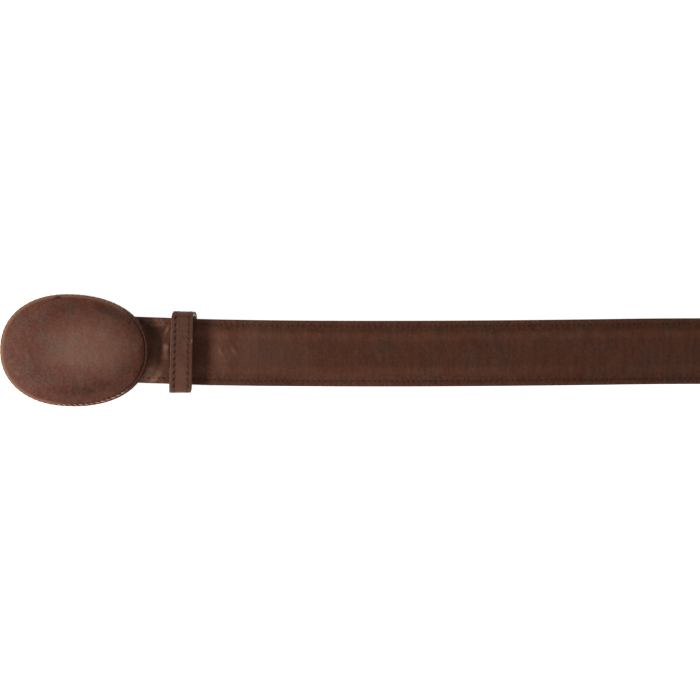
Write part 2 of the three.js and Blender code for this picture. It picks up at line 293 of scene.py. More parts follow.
# Strap, whose section has points at these distances in from the edge of its face and back
HALF_WIDTH = STRAP_WIDTH / 2
FACE_STOPS = (1.2, 1.7, 2.2, 2.6, 2.9, 3.2, 3.5, 3.9, 4.4, 5.0, 5.6, 6.3, 7.0, 7.8,
              8.7, 9.7, 11.0, 12.5, 14.2, 16.0, 17.6)
BACK_STOPS = (2.0, 2.9, 3.2, 3.5, 5.0, 8.0, 12.0, 16.0)
FACE_ROUND_POINTS = 6
BACK_ROUND_POINTS = 4
GROOVE_DEPTH = 0.12
BACK_GROOVE_DEPTH = 0.3
GROOVE_WIDTH = 0.6
RELIEF_INWARD = 5.0

# Rows of the strip: their steps along it, and their number in its bends and round its tip
FLAP_STEP = 1.5
FINE_STEP = 1.0
FINE_END = 345.0
COARSE_STEP = 2.5
BEND_ROWS = 13
NOSE_ROWS = 25
TIP_ROWS = 41
TIP_HALF = 0.9

# Creases pressed into the strap beside the keeper, as valleys between two places
CREASES = (
    # along, across at one end, along, across at the other, depth, half width
    (29.2, 18.0, 24.6, 7.5, 0.5, 0.9),
    (31.5, 15.0, 27.8, 4.5, 0.4, 0.8),
    (16.0, 13.5, 24.0, 4.0, 0.45, 2.6),
    (23.0, 0.5, 26.0, -1.2, 0.3, 1.5),
    (56.0, 8.0, 57.5, -9.0, 0.1, 1.8),
)

# Low swellings of the strap's face over what lies under it
SWELLINGS = (
    # along, across, radius along, radius across, rise
    (26.6, 1.9, 3.4, 4.2, 0.5),
    (22.0, -11.0, 7.0, 5.0, 0.35),
    (12.0, 12.0, 6.0, 4.0, -0.25),
    (60.0, 1.0, 7.5, 12.0, 0.3),
)
SNAP_RING_RADIUS = 4.3
SNAP_RING_RISE = 0.3
SNAP_RING_WIDTH = 0.9


def strip_rows():
    """The strip, followed from the flap's end round the bar to the tip.

    Each row has its inner side's place along and up, the strip's thickness and its half width."""
    flap_top = FLAP_UNDER + FLAP_THICK
    rows = []
    for along in np.arange(FLAP_END, PINCH, -FLAP_STEP):
        thin = smooth(FLAP_END - along, 0, FLAP_SKIVE)
        rows.append((along, flap_top, mix(FLAP_END_THICK, FLAP_THICK, thin), HALF_WIDTH))
    blend = np.linspace(0, 1, BEND_ROWS)
    for share in blend[:-1]:
        up = mix(flap_top, BAR_UP - TUNNEL_RADIUS, smooth(share, 0, 1))
        rows.append((PINCH * (1 - share), up, FLAP_THICK, HALF_WIDTH))
    for turn in np.linspace(0, math.pi, NOSE_ROWS):
        along = -TUNNEL_RADIUS * math.sin(turn)
        up = BAR_UP - TUNNEL_RADIUS * math.cos(turn)
        rows.append((along, up, NOSE_THICK, HALF_WIDTH))
    for share in blend[1:]:
        up = mix(BAR_UP + TUNNEL_RADIUS, STRAP_UNDER, smooth(share, 0, 1))
        rows.append((PINCH * share, up, mix(NOSE_THICK, STRAP_THICK, share), HALF_WIDTH))
    tip_start = TIP_END - TIP_LENGTH
    fine = np.arange(PINCH + FINE_STEP, FINE_END, FINE_STEP)
    coarse = np.arange(FINE_END, tip_start, COARSE_STEP)
    for along in np.concatenate([fine, coarse]):
        down = float(smooth(along, FLAP_END + GAP, EASE_END))
        rows.append((along, STRAP_UNDER * (1 - down), STRAP_THICK, HALF_WIDTH))
    for turn in np.linspace(0, math.pi / 2, TIP_ROWS):
        half = max(HALF_WIDTH * math.cos(turn), TIP_HALF)
        rows.append((tip_start + TIP_LENGTH * math.sin(turn), 0.0, STRAP_THICK, half))
    return np.array(rows, float)


STRIP = strip_rows()
STRIP_SLOPE = np.gradient(STRIP[:, :2], axis=0)
STRIP_SLOPE /= np.linalg.norm(STRIP_SLOPE, axis=1, keepdims=True)
STRIP_RUN = np.concatenate([[0], np.cumsum(np.linalg.norm(np.diff(STRIP[:, :2], axis=0), axis=1))])
NOSE_RUN = STRIP_RUN[int(np.argmin(STRIP[:, 0]))]


def waves(along, across):
    """Slow unevenness of the leather, in millimetres."""
    return (
        0.050 * np.sin(along / 7.3 + 0.8 * np.sin(across / 6.1))
        + 0.035 * np.sin(along / 3.9 - across / 5.2 + 1.3)
        + 0.045 * np.sin(along / 16.0 + across / 9.0 + 0.6)
        + 0.030 * np.sin(across / 2.9 + 1.7 * np.sin(along / 11.0))
    )


def crease_depth(along, across):
    depth = np.zeros_like(along)
    for along_a, across_a, along_b, across_b, most, half_width in CREASES:
        run = np.array([along_b - along_a, across_b - across_a])
        share = ((along - along_a) * run[0] + (across - across_a) * run[1]) / (run @ run)
        near = np.clip(share, 0, 1)
        off = np.hypot(along - along_a - near * run[0], across - across_a - near * run[1])
        depth += most * np.exp(-((off / half_width) ** 2))
    return depth


def edge_distance(along, across, inward):
    """Distance in from the strap's edge, also round the elliptical tip."""
    past = np.maximum(along - (TIP_END - TIP_LENGTH), 1e-6)
    share = np.hypot(past / TIP_LENGTH, across / HALF_WIDTH)
    slope = np.hypot(past / TIP_LENGTH**2, across / HALF_WIDTH**2) / share
    round_tip = np.minimum((1 - share) / slope, inward)
    return np.where(along > TIP_END - TIP_LENGTH, round_tip, inward)


def groove_at(along, across, inward):
    off = edge_distance(along, across, inward) - STITCH_INSET
    return np.exp(-((off / GROOVE_WIDTH) ** 2))


def face_relief(along, across, inward, on_strap):
    """Height of the face over the plain strip: padding, groove, creases and swellings."""
    padded = smooth(along, PADDING_START, PADDING_START + PADDING_RAMP)
    padded = padded * (1 - smooth(along, PADDING_END - PADDING_RAMP, PADDING_END))
    inward_stops, shares = np.array(PADDING_ROWS).T
    relief = PADDING_RISE * padded * np.interp(inward, inward_stops, shares)
    for centre, middle, reach_along, reach_across, rise in SWELLINGS:
        off = ((along - centre) / reach_along) ** 2 + ((across - middle) / reach_across) ** 2
        relief += rise * np.exp(-off)
    off = np.hypot(along - SNAP_ALONGS[1], across - SNAP_ACROSS)
    relief += SNAP_RING_RISE * np.exp(-(((off - SNAP_RING_RADIUS) / SNAP_RING_WIDTH) ** 2))
    relief -= crease_depth(along, across)
    relief += waves(along, across) * (0.5 + 0.5 * padded)
    inner = smooth(inward, FACE_ROUND, RELIEF_INWARD)
    relief = relief * on_strap * inner
    return relief - GROOVE_DEPTH * groove_at(along, across, inward)


def strap_section():
    """Rows round the strap's section: side, distance inward, layer and height over that layer.

    The layer is 0 on the back and 1 on the face."""
    half = [(stop, 0, 0.0) for stop in BACK_STOPS[::-1]]
    for turn in np.linspace(0, math.pi / 2, BACK_ROUND_POINTS)[1:]:
        half.append((BACK_ROUND * (1 - math.sin(turn)), 0, BACK_ROUND * (1 - math.cos(turn))))
    for turn in np.linspace(0, math.pi / 2, FACE_ROUND_POINTS)[:-1]:
        half.append((FACE_ROUND * (1 - math.cos(turn)), 1, -FACE_ROUND * (1 - math.sin(turn))))
    half.extend((stop, 1, 0.0) for stop in (FACE_ROUND, *FACE_STOPS))
    right = [(1.0, *row) for row in half]
    left = [(-1.0, *row) for row in reversed(half)]
    return np.array([(1.0, HALF_WIDTH, 0, 0.0), *right, (1.0, HALF_WIDTH, 1, 0.0), *left])


def strip_points(run, across, lift):
    """Points at a run along the strip, a place across it and a height over its inner side."""
    along = np.interp(run, STRIP_RUN, STRIP[:, 0])
    up = np.interp(run, STRIP_RUN, STRIP[:, 1])
    slope_along = np.interp(run, STRIP_RUN, STRIP_SLOPE[:, 0])
    slope_up = np.interp(run, STRIP_RUN, STRIP_SLOPE[:, 1])
    return place(along - lift * slope_up, across, up + lift * slope_along)


def hole_alongs():
    first = BELT_SIZE - (HOLE_COUNT - 1) / 2 * HOLE_PITCH
    return [first + HOLE_PITCH * hole for hole in range(HOLE_COUNT)]


def make_strap():
    section = strap_section()
    side, inward, layer, drop = (section[:, i][None, :] for i in range(4))
    run = STRIP_RUN[:, None]
    along = STRIP[:, 0][:, None]
    thick = STRIP[:, 2][:, None]
    half = STRIP[:, 3][:, None]
    across = side * (half - inward * half / HALF_WIDTH)
    along, inward = np.broadcast_arrays(along, inward)
    relief = face_relief(along, across, inward, (run > NOSE_RUN) * 1.0)
    face_lift = thick + drop + np.where(drop < 0, 0, relief)
    back_lift = drop + BACK_GROOVE_DEPTH * groove_at(along, across, inward)
    rings = strip_points(run, across, np.where(layer > 0.5, face_lift, back_lift))
    strap = mesh_object("strap_leather", *lofted(rings))
    values = {
        "along": along,
        "run": run,
        "across": across,
        "inward": edge_distance(along, across, inward),
        "face": layer,
    }
    for name, numbers in values.items():
        add_floats(strap, name, np.broadcast_to(numbers, across.shape))
    return strap


def upright_cylinder(radius, heights, along, across):
    ring = circle(radius * MM) + place(along, across, 0.0)
    return lofted([ring + [0, 0, up * MM] for up in heights])


def apply_boolean(piece, parts, operation):
    """Joins other closed meshes to a piece, or cuts them out of it."""
    other = mesh_object(piece.name + "_tool", *joined(parts))
    modifier = piece.modifiers.new("boolean", "BOOLEAN")
    modifier.object = other
    modifier.operation = operation
    modifier.solver = "EXACT"
    modifier.use_self = len(parts) > 1
    bpy.context.view_layer.update()
    evaluated = piece.evaluated_get(bpy.context.evaluated_depsgraph_get())
    old_mesh = piece.data
    new_mesh = bpy.data.meshes.new_from_object(evaluated)
    piece.modifiers.clear()
    piece.data = new_mesh
    new_mesh.name = piece.name
    bpy.data.meshes.remove(old_mesh)
    tool_mesh = other.data
    bpy.data.objects.remove(other)
    bpy.data.meshes.remove(tool_mesh)


# Heights from which to which the cutters of the holes and of the snaps' bores stand
HOLE_CUT = (-1.0, STRAP_THICK + 2.0)
SNAP_CUT = (1.0, STRAP_UNDER + SNAP_BORE_DEPTH)
WALL_TOLERANCE = 0.02


def punch_strap(strap):
    """Cuts the adjustment holes and the snaps' bores, and gives the holes' walls their values."""
    cutters = [upright_cylinder(HOLE_RADIUS, HOLE_CUT, along, 0) for along in hole_alongs()]
    for along in SNAP_ALONGS:
        cutters.append(upright_cylinder(SNAP_STEM_RADIUS + GAP, SNAP_CUT, along, SNAP_ACROSS))
    apply_boolean(strap, cutters, "DIFFERENCE")
    mesh = strap.data
    spots = np.empty(3 * len(mesh.vertices), np.float32)
    mesh.vertices.foreach_get("co", spots)
    spots = spots.reshape(-1, 3)
    for along in hole_alongs():
        centre = place(along, 0, 0)
        off = np.hypot(spots[:, 0] - centre[0], spots[:, 1] - centre[1]) / MM
        wall = np.abs(off - HOLE_RADIUS) < WALL_TOLERANCE
        values = {
            "along": along + (spots[:, 0] - centre[0]) / MM,
            "run": np.full(len(spots), STRIP_RUN[-1] - TIP_END + along),
            "across": (spots[:, 1] - centre[1]) / MM,
            "inward": np.zeros(len(spots)),
            "face": np.clip(spots[:, 2] / MM / STRAP_THICK, 0, 1),
        }
        for name, numbers in values.items():
            layer = mesh.attributes[name].data
            kept = np.empty(len(spots), np.float32)
            layer.foreach_get("value", kept)
            kept[wall] = numbers[wall]
            layer.foreach_set("value", kept)


# Stitches
THREAD_SIDES = 6
STITCH_RAISE = 0.3
SEAM_STEP = 1.0
SEAM_TIP_POINTS = 61
THREAD_PROFILE = (
    # share of the length, share of the radius, rise in radii
    (-0.16, 0.45, -1.0),
    (-0.08, 0.85, -0.75),
    (0.04, 1.0, -0.35),
    (0.5, 1.0, 0.25),
    (0.96, 1.0, -0.35),
    (1.08, 0.85, -0.75),
    (1.16, 0.45, -1.0),
)


def stitch_meshes(starts, ends, normals, radius):
    """One thread for each pair of places: a low arc whose ends dip into the leather."""
    starts, ends, normals = (np.asarray(v, float) for v in (starts, ends, normals))
    run = ends - starts
    forward = run / np.linalg.norm(run, axis=1, keepdims=True)
    sideways = np.cross(forward, normals)
    sideways /= np.linalg.norm(sideways, axis=1, keepdims=True)
    upward = np.cross(sideways, forward)
    angles = np.linspace(0, 2 * math.pi, THREAD_SIDES, endpoint=False)
    rings = []
    for share, fat, rise in THREAD_PROFILE:
        middle = starts + run * share + upward * rise * radius
        for angle in angles:
            spoke = sideways * math.cos(angle) + upward * math.sin(angle)
            rings.append(middle + spoke * fat * radius)
    count = len(THREAD_PROFILE) * THREAD_SIDES
    points = np.stack(rings, axis=1)
    one = grid_faces(len(THREAD_PROFILE), THREAD_SIDES)
    caps = [list(range(THREAD_SIDES)), list(range(count - THREAD_SIDES, count))[::-1]]
    faces = []
    for index in range(len(points)):
        faces.extend((one + index * count).tolist())
        faces.extend([[i + index * count for i in cap] for cap in caps])
    return points.reshape(-1, 3), faces


def path_run(path):
    steps = np.linalg.norm(np.diff(path, axis=0), axis=1)
    return np.concatenate([[0], np.cumsum(steps)])


def stitch_starts(whole, pitch, length):
    """Runs at which stitches start, centred on a path of a whole length."""
    count = int((whole - length) // pitch)
    return (whole - count * pitch - length) / 2 + pitch * np.arange(count + 1)


def spaced(path, pitch, length):
    """Start and end places of stitches at one pitch along a path of points."""
    path = np.asarray(path, float)
    run = path_run(path)
    first = stitch_starts(run[-1], pitch, length)
    starts, ends = (
        np.stack([np.interp(where, run, values) for values in path.T], axis=-1)
        for where in (first, first + length)
    )
    return starts, ends


def strap_seam(start_run):
    """The seam in run and across: out along one edge, round the tip and back on the other."""
    end_run = STRIP_RUN[-1]
    tip_run = end_run - TIP_LENGTH
    turns = np.linspace(math.pi / 2, -math.pi / 2, SEAM_TIP_POINTS)
    seam_half = HALF_WIDTH - STITCH_INSET
    tip_runs = tip_run + (TIP_LENGTH - STITCH_INSET) * np.cos(turns)
    tip = np.stack([tip_runs, seam_half * np.sin(turns)], axis=-1)
    runs = np.arange(start_run, tip_run, SEAM_STEP)
    out = np.stack([runs, np.full(len(runs), seam_half)], axis=-1)
    back = out[::-1] * [1, -1]
    return np.concatenate([out, tip, back])


def seam_gap(start_run):
    """A run that is midway between two stitches of the strap's seam."""
    whole = path_run(strap_seam(start_run))[-1]
    first = stitch_starts(whole, STITCH_PITCH, STITCH_LENGTH)[0]
    return start_run + first - (STITCH_PITCH - STITCH_LENGTH) / 2


def make_strap_stitches(name, start_run, lift_of, outward, radius):
    starts, ends = spaced(strap_seam(start_run), STITCH_PITCH, STITCH_LENGTH)
    places = []
    for ends_of in (starts, ends):
        run, across = ends_of.T
        places.append(strip_points(run, across, lift_of(run, across)))
    run, across = ends.T
    lift = lift_of(run, across)
    normals = (strip_points(run, across, lift + 1) - strip_points(run, across, lift)) / MM
    return mesh_object(name, *stitch_meshes(places[0], places[1], normals * outward, radius * MM))


def face_seam_lift(run, across):
    along = np.interp(run, STRIP_RUN, STRIP[:, 0])
    thick = np.interp(run, STRIP_RUN, STRIP[:, 2])
    inward = np.full(len(run), STITCH_INSET)
    relief = face_relief(along, across, inward, (run > NOSE_RUN) * 1.0)
    return thick + relief + STITCH_RAISE * STITCH_RADIUS


def back_seam_lift(run, across):
    return BACK_GROOVE_DEPTH + 0.0 * run


# Keeper
KEEPER_ARCH = 0.35
KEEPER_SWELL = 0.12
KEEPER_NARROWING = 0.09
KEEPER_LOW_NARROWING = 0.03
KEEPER_NARROWING_POWER = 14
KEEPER_LOW_SLANT = 0.04
KEEPER_LEFT_SEAM = 2.6
KEEPER_RIGHT_SEAM = 2.2
KEEPER_GROOVE_DEPTH = 0.09
KEEPER_GROOVE_WIDTH = 0.55
KEEPER_COLUMNS = 49
KEEPER_CORNER_POINTS = 13
KEEPER_EDGE_POINTS = 5
KEEPER_ROUND = 0.35
INSIDE_ROUND = 0.3
INSIDE_GAP = 0.1
INSIDE_SHIFT = -0.12
KEEPER_STEP = 0.8
KEEPER_SEAM_STEP = 0.4
KEEPER_STITCH_LENGTH = 1.9
KEEPER_STITCH_RADIUS = 0.34
KEEPER_STITCH_SUNK = 0.12
KEEPER_REAR_SUNK = 0.32
# Depths over and under the loop's face that give its outward direction
OVER_FACE = -0.9
UNDER_FACE = 0.1

# Both seams of the keeper, with how the stitches and the marks between them lean
KEEPER_SEAMS = (
    # from the middle, stitch skew, mark lean, mark share
    (KEEPER_LEFT_SEAM - KEEPER_WIDTH / 2, 0.22, 0.7, 1.0),
    (KEEPER_WIDTH / 2 - KEEPER_RIGHT_SEAM, -0.1, -0.2, 0.62),
)


def keeper_path(step):
    """Outer outline of the loop: across, up and the outward direction, from the rear's middle."""
    half = KEEPER_SPAN / 2
    flat = half - KEEPER_CORNER
    corners = (
        (flat, KEEPER_CORNER, -90),
        (flat, KEEPER_HEIGHT - KEEPER_CORNER, 0),
        (-flat, KEEPER_HEIGHT - KEEPER_CORNER, 90),
        (-flat, KEEPER_CORNER, 180),
    )
    rows = []
    for across, up, start in corners:
        for turn in np.radians(start + np.linspace(0, 90, KEEPER_CORNER_POINTS)):
            out = (math.cos(turn), math.sin(turn))
            rows.append((across + KEEPER_CORNER * out[0], up + KEEPER_CORNER * out[1], *out))
    dense = []
    for here, there in zip(rows, rows[1:] + rows[:1]):
        gap = math.dist(here[:2], there[:2])
        pieces = max(1, round(gap / step))
        for index in range(pieces):
            dense.append(mix(np.array(here), np.array(there), index / pieces))
    return np.array(dense)


def keeper_points(row, sideways, depth, swell=0.0, sink=0.0):
    """Points of the loop at one row of its path, from places along its width and depths.

    The front swells by the given amount, and the rear, which is on the floor, sinks by another."""
    across, up, out_across, out_up = row
    share = up / KEEPER_HEIGHT
    depth = depth - swell * max(out_up, 0) + sink * max(-out_up, 0)
    lean = across * mix(math.tan(KEEPER_REAR_LEAN), math.tan(KEEPER_FRONT_LEAN), share)
    narrowing = KEEPER_NARROWING if across > 0 else KEEPER_LOW_NARROWING
    end_share = abs(across / (KEEPER_SPAN / 2))
    sideways = sideways * (1 - narrowing * end_share**KEEPER_NARROWING_POWER)
    slant = KEEPER_LOW_SLANT * sideways * max(-out_across, 0)
    arch = KEEPER_ARCH * max(out_up, 0) * (1 - end_share**2)
    return place(
        KEEPER_ALONG + lean + sideways,
        across + KEEPER_ACROSS + slant - depth * out_across,
        up + arch - depth * out_up,
    )


def make_keeper_band(name, outer, inner, rounding, seams=(), shift=0.0):
    width = KEEPER_WIDTH
    half = width / 2
    turns = np.linspace(0, math.pi / 2, KEEPER_EDGE_POINTS)
    edge = [(rounding * (1 - math.sin(t)), rounding * (1 - math.cos(t))) for t in turns]
    flat = np.linspace(rounding, width - rounding, KEEPER_COLUMNS)[1:-1]
    section = []
    for inset, sunk in edge[::-1]:
        section.append((-half + inset, outer + sunk, 0.0))
    for place_in in flat:
        offs = [(place_in - seam) / KEEPER_GROOVE_WIDTH for seam in seams]
        sunk = sum(KEEPER_GROOVE_DEPTH * math.exp(-(off**2)) for off in offs)
        swell = KEEPER_SWELL * math.sin(math.pi * place_in / width)
        section.append((-half + place_in, outer + sunk, swell))
    for inset, sunk in edge:
        section.append((half - inset, outer + sunk, 0.0))
    for inset, sunk in edge[::-1]:
        section.append((half - inset, inner - sunk, 0.0))
    for inset, sunk in edge:
        section.append((-half + inset, inner - sunk, 0.0))
    sideways, depth, swell = np.array(section).T
    path, run = keeper_run(KEEPER_STEP)
    rings = [keeper_points(row, sideways + shift, depth, swell) for row in path[:-1]]
    band = mesh_object(name, *lofted(rings, closed=True))
    rows = len(rings)
    add_floats(band, "sideways", np.tile(sideways, rows))
    add_floats(band, "inward", np.tile(half - np.abs(sideways), rows))
    add_floats(band, "depth", np.tile((depth - outer) / (inner - outer), rows))
    add_floats(band, "run", np.repeat(run[:-1], len(section)))
    return band


def keeper_run(step):
    path = keeper_path(step)
    path = np.concatenate([path, path[:1]])
    return path, path_run(path[:, :2])


def keeper_pitch(whole):
    return whole / round(whole / KEEPER_STITCH_PITCH)


def make_keeper_stitches():
    path, run = keeper_run(KEEPER_SEAM_STEP)
    pitch = keeper_pitch(run[-1])
    count = round(run[-1] / pitch)
    parts = []
    for sideways, skew, _, _ in KEEPER_SEAMS:
        places = []
        for shift, aside in ((0, -skew), (KEEPER_STITCH_LENGTH, skew)):
            at = (np.arange(count) + 0.5) * pitch + shift
            rows = np.stack([np.interp(at % run[-1], run, values) for values in path.T], axis=-1)
            places.append([
                keeper_points(row, sideways + aside, KEEPER_STITCH_SUNK, sink=KEEPER_REAR_SUNK)
                for row in rows
            ])
            over = [keeper_points(row, sideways, OVER_FACE) for row in rows]
            under = [keeper_points(row, sideways, UNDER_FACE) for row in rows]
            normals = np.subtract(over, under)
        parts.append(stitch_meshes(*places, normals, KEEPER_STITCH_RADIUS * MM))
    return mesh_object("keeper_stitches", *joined(parts))


# Buckle
OVAL_SIDES = 240
RIM_LINE_SIDES = 720
PLATE_SIDES = 96
COVER_ROWS = 60
UNDER_ROWS = 24
PLATE_ROWS = 26
CROWN_TURN = 0.03


def buckle_matrix():
    """From the buckle's flat frame in millimetres to the frame: it tilts onto its post's head."""
    middle = BACKING_LIFT - POST_LENGTH + POST_HEAD_RADIUS
    reach = math.hypot(POST_FROM_BAR, middle)
    tilt = math.asin((BAR_UP - POST_HEAD_RADIUS) / reach) + math.atan2(middle, POST_FROM_BAR)
    heading = math.radians(HEADINGS[0][1])
    turn = Matrix.Rotation(heading, 4, "Z") @ Matrix.Rotation(-tilt, 4, "Y")
    slide = Matrix.Translation((0, BUCKLE_SLIDE, 0))
    return Matrix.Translation(BAR) @ turn @ Matrix.Scale(MM, 4) @ slide


BUCKLE = np.array(buckle_matrix())


def to_buckle(points):
    points = np.asarray(points, float)
    return points @ BUCKLE[:3, :3].T + BUCKLE[:3, 3]


def oval_ring(scale, up, sides=OVAL_SIDES):
    cosines, sines = circle(1.0, sides)[:, :2].T
    reach = np.where(cosines < 0, OVAL_LEFT, OVAL_RIGHT)
    x = np.sign(cosines) * reach * np.abs(cosines) ** (2 / OVAL_POWER)
    y = np.sign(sines) * OVAL_HALF * np.abs(sines) ** (2 / OVAL_POWER)
    return np.stack([OVAL_CENTRE + x * scale, y * scale, np.full(sides, up)], axis=-1)


def dome_rows(depth, count):
    """Rows of scale and height over the dome, from its crown to its foot."""
    foot = 1 - (RIM_WIDTH + depth) / OVAL_MEAN
    turns = np.linspace(CROWN_TURN, math.pi / 2, count)
    scales = foot * np.sin(turns) ** (2 / DOME_SPREAD)
    ups = DOME_FOOT + (DOME_HEIGHT - depth) * np.abs(np.cos(turns)) ** (2 / DOME_CROWN)
    return list(zip(scales, ups))


DOME_FOOT_SCALE = 1 - RIM_WIDTH / OVAL_MEAN


def dome_height_at(x, y, depth):
    reach = OVAL_LEFT if x < OVAL_CENTRE else OVAL_RIGHT
    power = OVAL_POWER
    scale = ((abs(x - OVAL_CENTRE) / reach) ** power + (abs(y) / OVAL_HALF) ** power) ** (1 / power)
    foot = 1 - (RIM_WIDTH + depth) / OVAL_MEAN
    rise = (1 - (scale / foot) ** DOME_SPREAD) ** (1 / DOME_CROWN)
    return DOME_FOOT + (DOME_HEIGHT - depth) * rise


# Stitched rim of the cover, from the dome's foot to its edge
RIM_ROWS = (
    # inward from the edge, rise of the plain rim, rise where the seam's groove shows
    (2.12, 0.0, -0.12),
    (1.94, -0.02, -0.17),
    (1.76, -0.04, -0.13),
    (1.6, -0.06, -0.06),
    (1.44, -0.1, 0.0),
    (1.25, -0.15, 0.02),
    (1.0, -0.22, 0.0),
    (0.75, -0.32, -0.08),
    (0.5, -0.44, -0.22),
    (0.3, -0.58, -0.38),
    (0.14, -0.74, -0.56),
    (0.03, -0.92, -0.8),
    (0.0, -1.1, -1.0),
)
GROOVE_FADE = (-18.0, 2.0)
GROOVE_SLANT = 0.7
RIM_NARROW = 0.8
RIM_BROAD = 1.8
RIM_SEAM = 0.6
RIM_STITCH_LENGTH = 2.2
RIM_STITCH_RADIUS = 0.4
RIM_STITCH_SLANT = 0.22
RIM_STITCH_SUNK = 0.45
RIM_PUCKER = 0.07
PUCKER_REACH = (0.2, 1.1)

# Unevenness of the cover's leather, which begins inward of the rim
COVER_WAVE_SCALE = 0.8
COVER_WAVE_START = 40
COVER_WAVE_INWARD = (1.5, 6.0)

# Leather oval under the cover
BACKING_MIDDLE = 12.0
BACKING_EDGE = (
    # inward, rise
    (0.3, 0.0),
    (0.05, 0.1),
    (0.0, 0.3),
    (0.0, 0.9),
    (0.3, 1.2),
)
BACKING_CUT_SIDES = 32
POST_NECK = 3.2
POST_FOOT_TURN = 0.05
POST_HEAD_ROWS = 14


def groove_share(ring):
    """How far the rim and its seam show: not at the upper left, and fully at the lower right."""
    return smooth(ring[:, 0] - GROOVE_SLANT * ring[:, 1], *GROOVE_FADE)


def make_cover():
    edge = oval_ring(1.0, COVER_UNDER)
    seamed = groove_share(edge)
    rim_width = mix(RIM_NARROW, RIM_BROAD, seamed)
    foot = 1 - rim_width / OVAL_MEAN
    rings, scales = [], []
    for scale, up in dome_rows(0.0, COVER_ROWS):
        scales.append(scale * foot / DOME_FOOT_SCALE)
        rings.append(oval_ring(scales[-1], up))
    for inward, plain, grooved in RIM_ROWS:
        scales.append(1 - inward * rim_width / (RIM_WIDTH * OVAL_MEAN))
        rings.append(oval_ring(scales[-1], DOME_FOOT + mix(plain, grooved, seamed)))
    top = len(rings)
    under = dome_rows(COVER_THICK, UNDER_ROWS)
    under[-1] = (under[-1][0], COVER_UNDER)
    rings.append(edge)
    rings.extend(oval_ring(scale, up) for scale, up in under[::-1])
    rings = np.array(rings)
    x, y = rings[:top, :, 0], rings[:top, :, 1]
    inward = (1 - np.array(scales)) * OVAL_MEAN
    uneven = waves(x * COVER_WAVE_SCALE + COVER_WAVE_START, y * COVER_WAVE_SCALE)
    uneven = uneven * smooth(inward, *COVER_WAVE_INWARD)
    waving = np.cos(2 * math.pi * path_run(edge) / RIM_STITCH_PITCH)
    near_seam = 1 - smooth(np.abs(inward - RIM_SEAM * rim_width), *PUCKER_REACH)
    rings[:top, :, 2] += uneven + RIM_PUCKER * waving * seamed * near_seam
    cover = mesh_object("buckle_leather", *lofted(to_buckle(rings)))
    values = {
        "inward": np.broadcast_to(inward, x.shape),
        "height": rings[:, :, 2] - DOME_FOOT,
        "seamed": np.tile(seamed, len(rings)),
        "rim": np.tile(rim_width, len(rings)),
    }
    for name, numbers in values.items():
        add_floats(cover, name, numbers)
    return cover


def make_rim_stitches():
    seamed = groove_share(oval_ring(1.0, 0.0, RIM_LINE_SIDES))
    rim_width = mix(RIM_NARROW, RIM_BROAD, seamed)
    line = oval_ring(1 - RIM_SEAM * rim_width / OVAL_MEAN, DOME_FOOT, RIM_LINE_SIDES)
    line[:, 2] -= mix(RIM_STITCH_SUNK, 0.0, seamed)
    line = np.concatenate([line, line[:1]])
    starts, ends = spaced(line, RIM_STITCH_PITCH, RIM_STITCH_LENGTH)
    inward = np.array([OVAL_CENTRE, 0, DOME_FOOT]) - starts
    inward /= np.linalg.norm(inward, axis=1, keepdims=True)
    starts, ends = starts + RIM_STITCH_SLANT * inward, ends - RIM_STITCH_SLANT * inward
    normal = BUCKLE[:3, 2] / MM
    normals = np.broadcast_to(normal, starts.shape)
    threads = stitch_meshes(to_buckle(starts), to_buckle(ends), normals, RIM_STITCH_RADIUS * MM)
    return mesh_object("rim_stitches", *threads)


def make_backing():
    low, high = BACKING_LIFT, BACKING_LIFT + BACKING_THICK
    rings = [oval_ring(1 - BACKING_MIDDLE / OVAL_MEAN, low)]
    for inward, rise in BACKING_EDGE:
        rings.append(oval_ring(1 - inward / OVAL_MEAN, low + rise))
    rings.append(oval_ring(1 - BACKING_MIDDLE / OVAL_MEAN, high))
    backing = mesh_object("buckle_back", *lofted(to_buckle(rings)))
    cutters = []
    for x, y, radius in (
        (-LOOP_REACH, -LOOP_HALF, WIRE_RADIUS + BACKING_SLACK),
        (-LOOP_REACH, LOOP_HALF, WIRE_RADIUS + BACKING_SLACK),
        (-POST_FROM_BAR, 0.0, POST_RADIUS + BACKING_SLACK),
    ):
        ring = circle(radius, BACKING_CUT_SIDES)
        cutters.append(lofted([to_buckle(ring + [x, y, up]) for up in (low - 1, high + 1)]))
    apply_boolean(backing, cutters, "DIFFERENCE")
    return backing


NEARLY_ALONG = 0.9


def tube(path, radius):
    """A round tube along a path of points, with its section kept from twisting."""
    path = np.asarray(path, float)
    forward = np.gradient(path, axis=0)
    forward /= np.linalg.norm(forward, axis=1, keepdims=True)
    sideways = np.array([1.0, 0.0, 0.0])
    if abs(forward[0] @ sideways) > NEARLY_ALONG:
        sideways = np.array([0.0, 1.0, 0.0])
    cosines, sines = circle(1.0, TUBE_SIDES)[:, :2].T
    rings = []
    for centre, ahead in zip(path, forward):
        sideways = sideways - ahead * (sideways @ ahead)
        sideways /= np.linalg.norm(sideways)
        upward = np.cross(ahead, sideways)
        spokes = np.outer(cosines, sideways) + np.outer(sines, upward)
        rings.append(centre + radius * spokes)
    return np.array(rings)


CORNER_STEPS = 10


def rounded_path(corners, radius):
    corners = [np.array(corner, float) for corner in corners]
    path = [corners[0]]
    for before, corner, after in zip(corners, corners[1:], corners[2:]):
        entry = corner + (before - corner) * radius / np.linalg.norm(before - corner)
        leave = corner + (after - corner) * radius / np.linalg.norm(after - corner)
        for share in np.linspace(0, 1, CORNER_STEPS):
            path.append(mix(mix(entry, corner, share), mix(corner, leave, share), share))
    path.append(corners[-1])
    return path


def turned(rows):
    """Rings of a solid turned about its upright middle, from rows of radius and height."""
    return np.array([circle(radius) + [0, 0, up] for radius, up in rows])


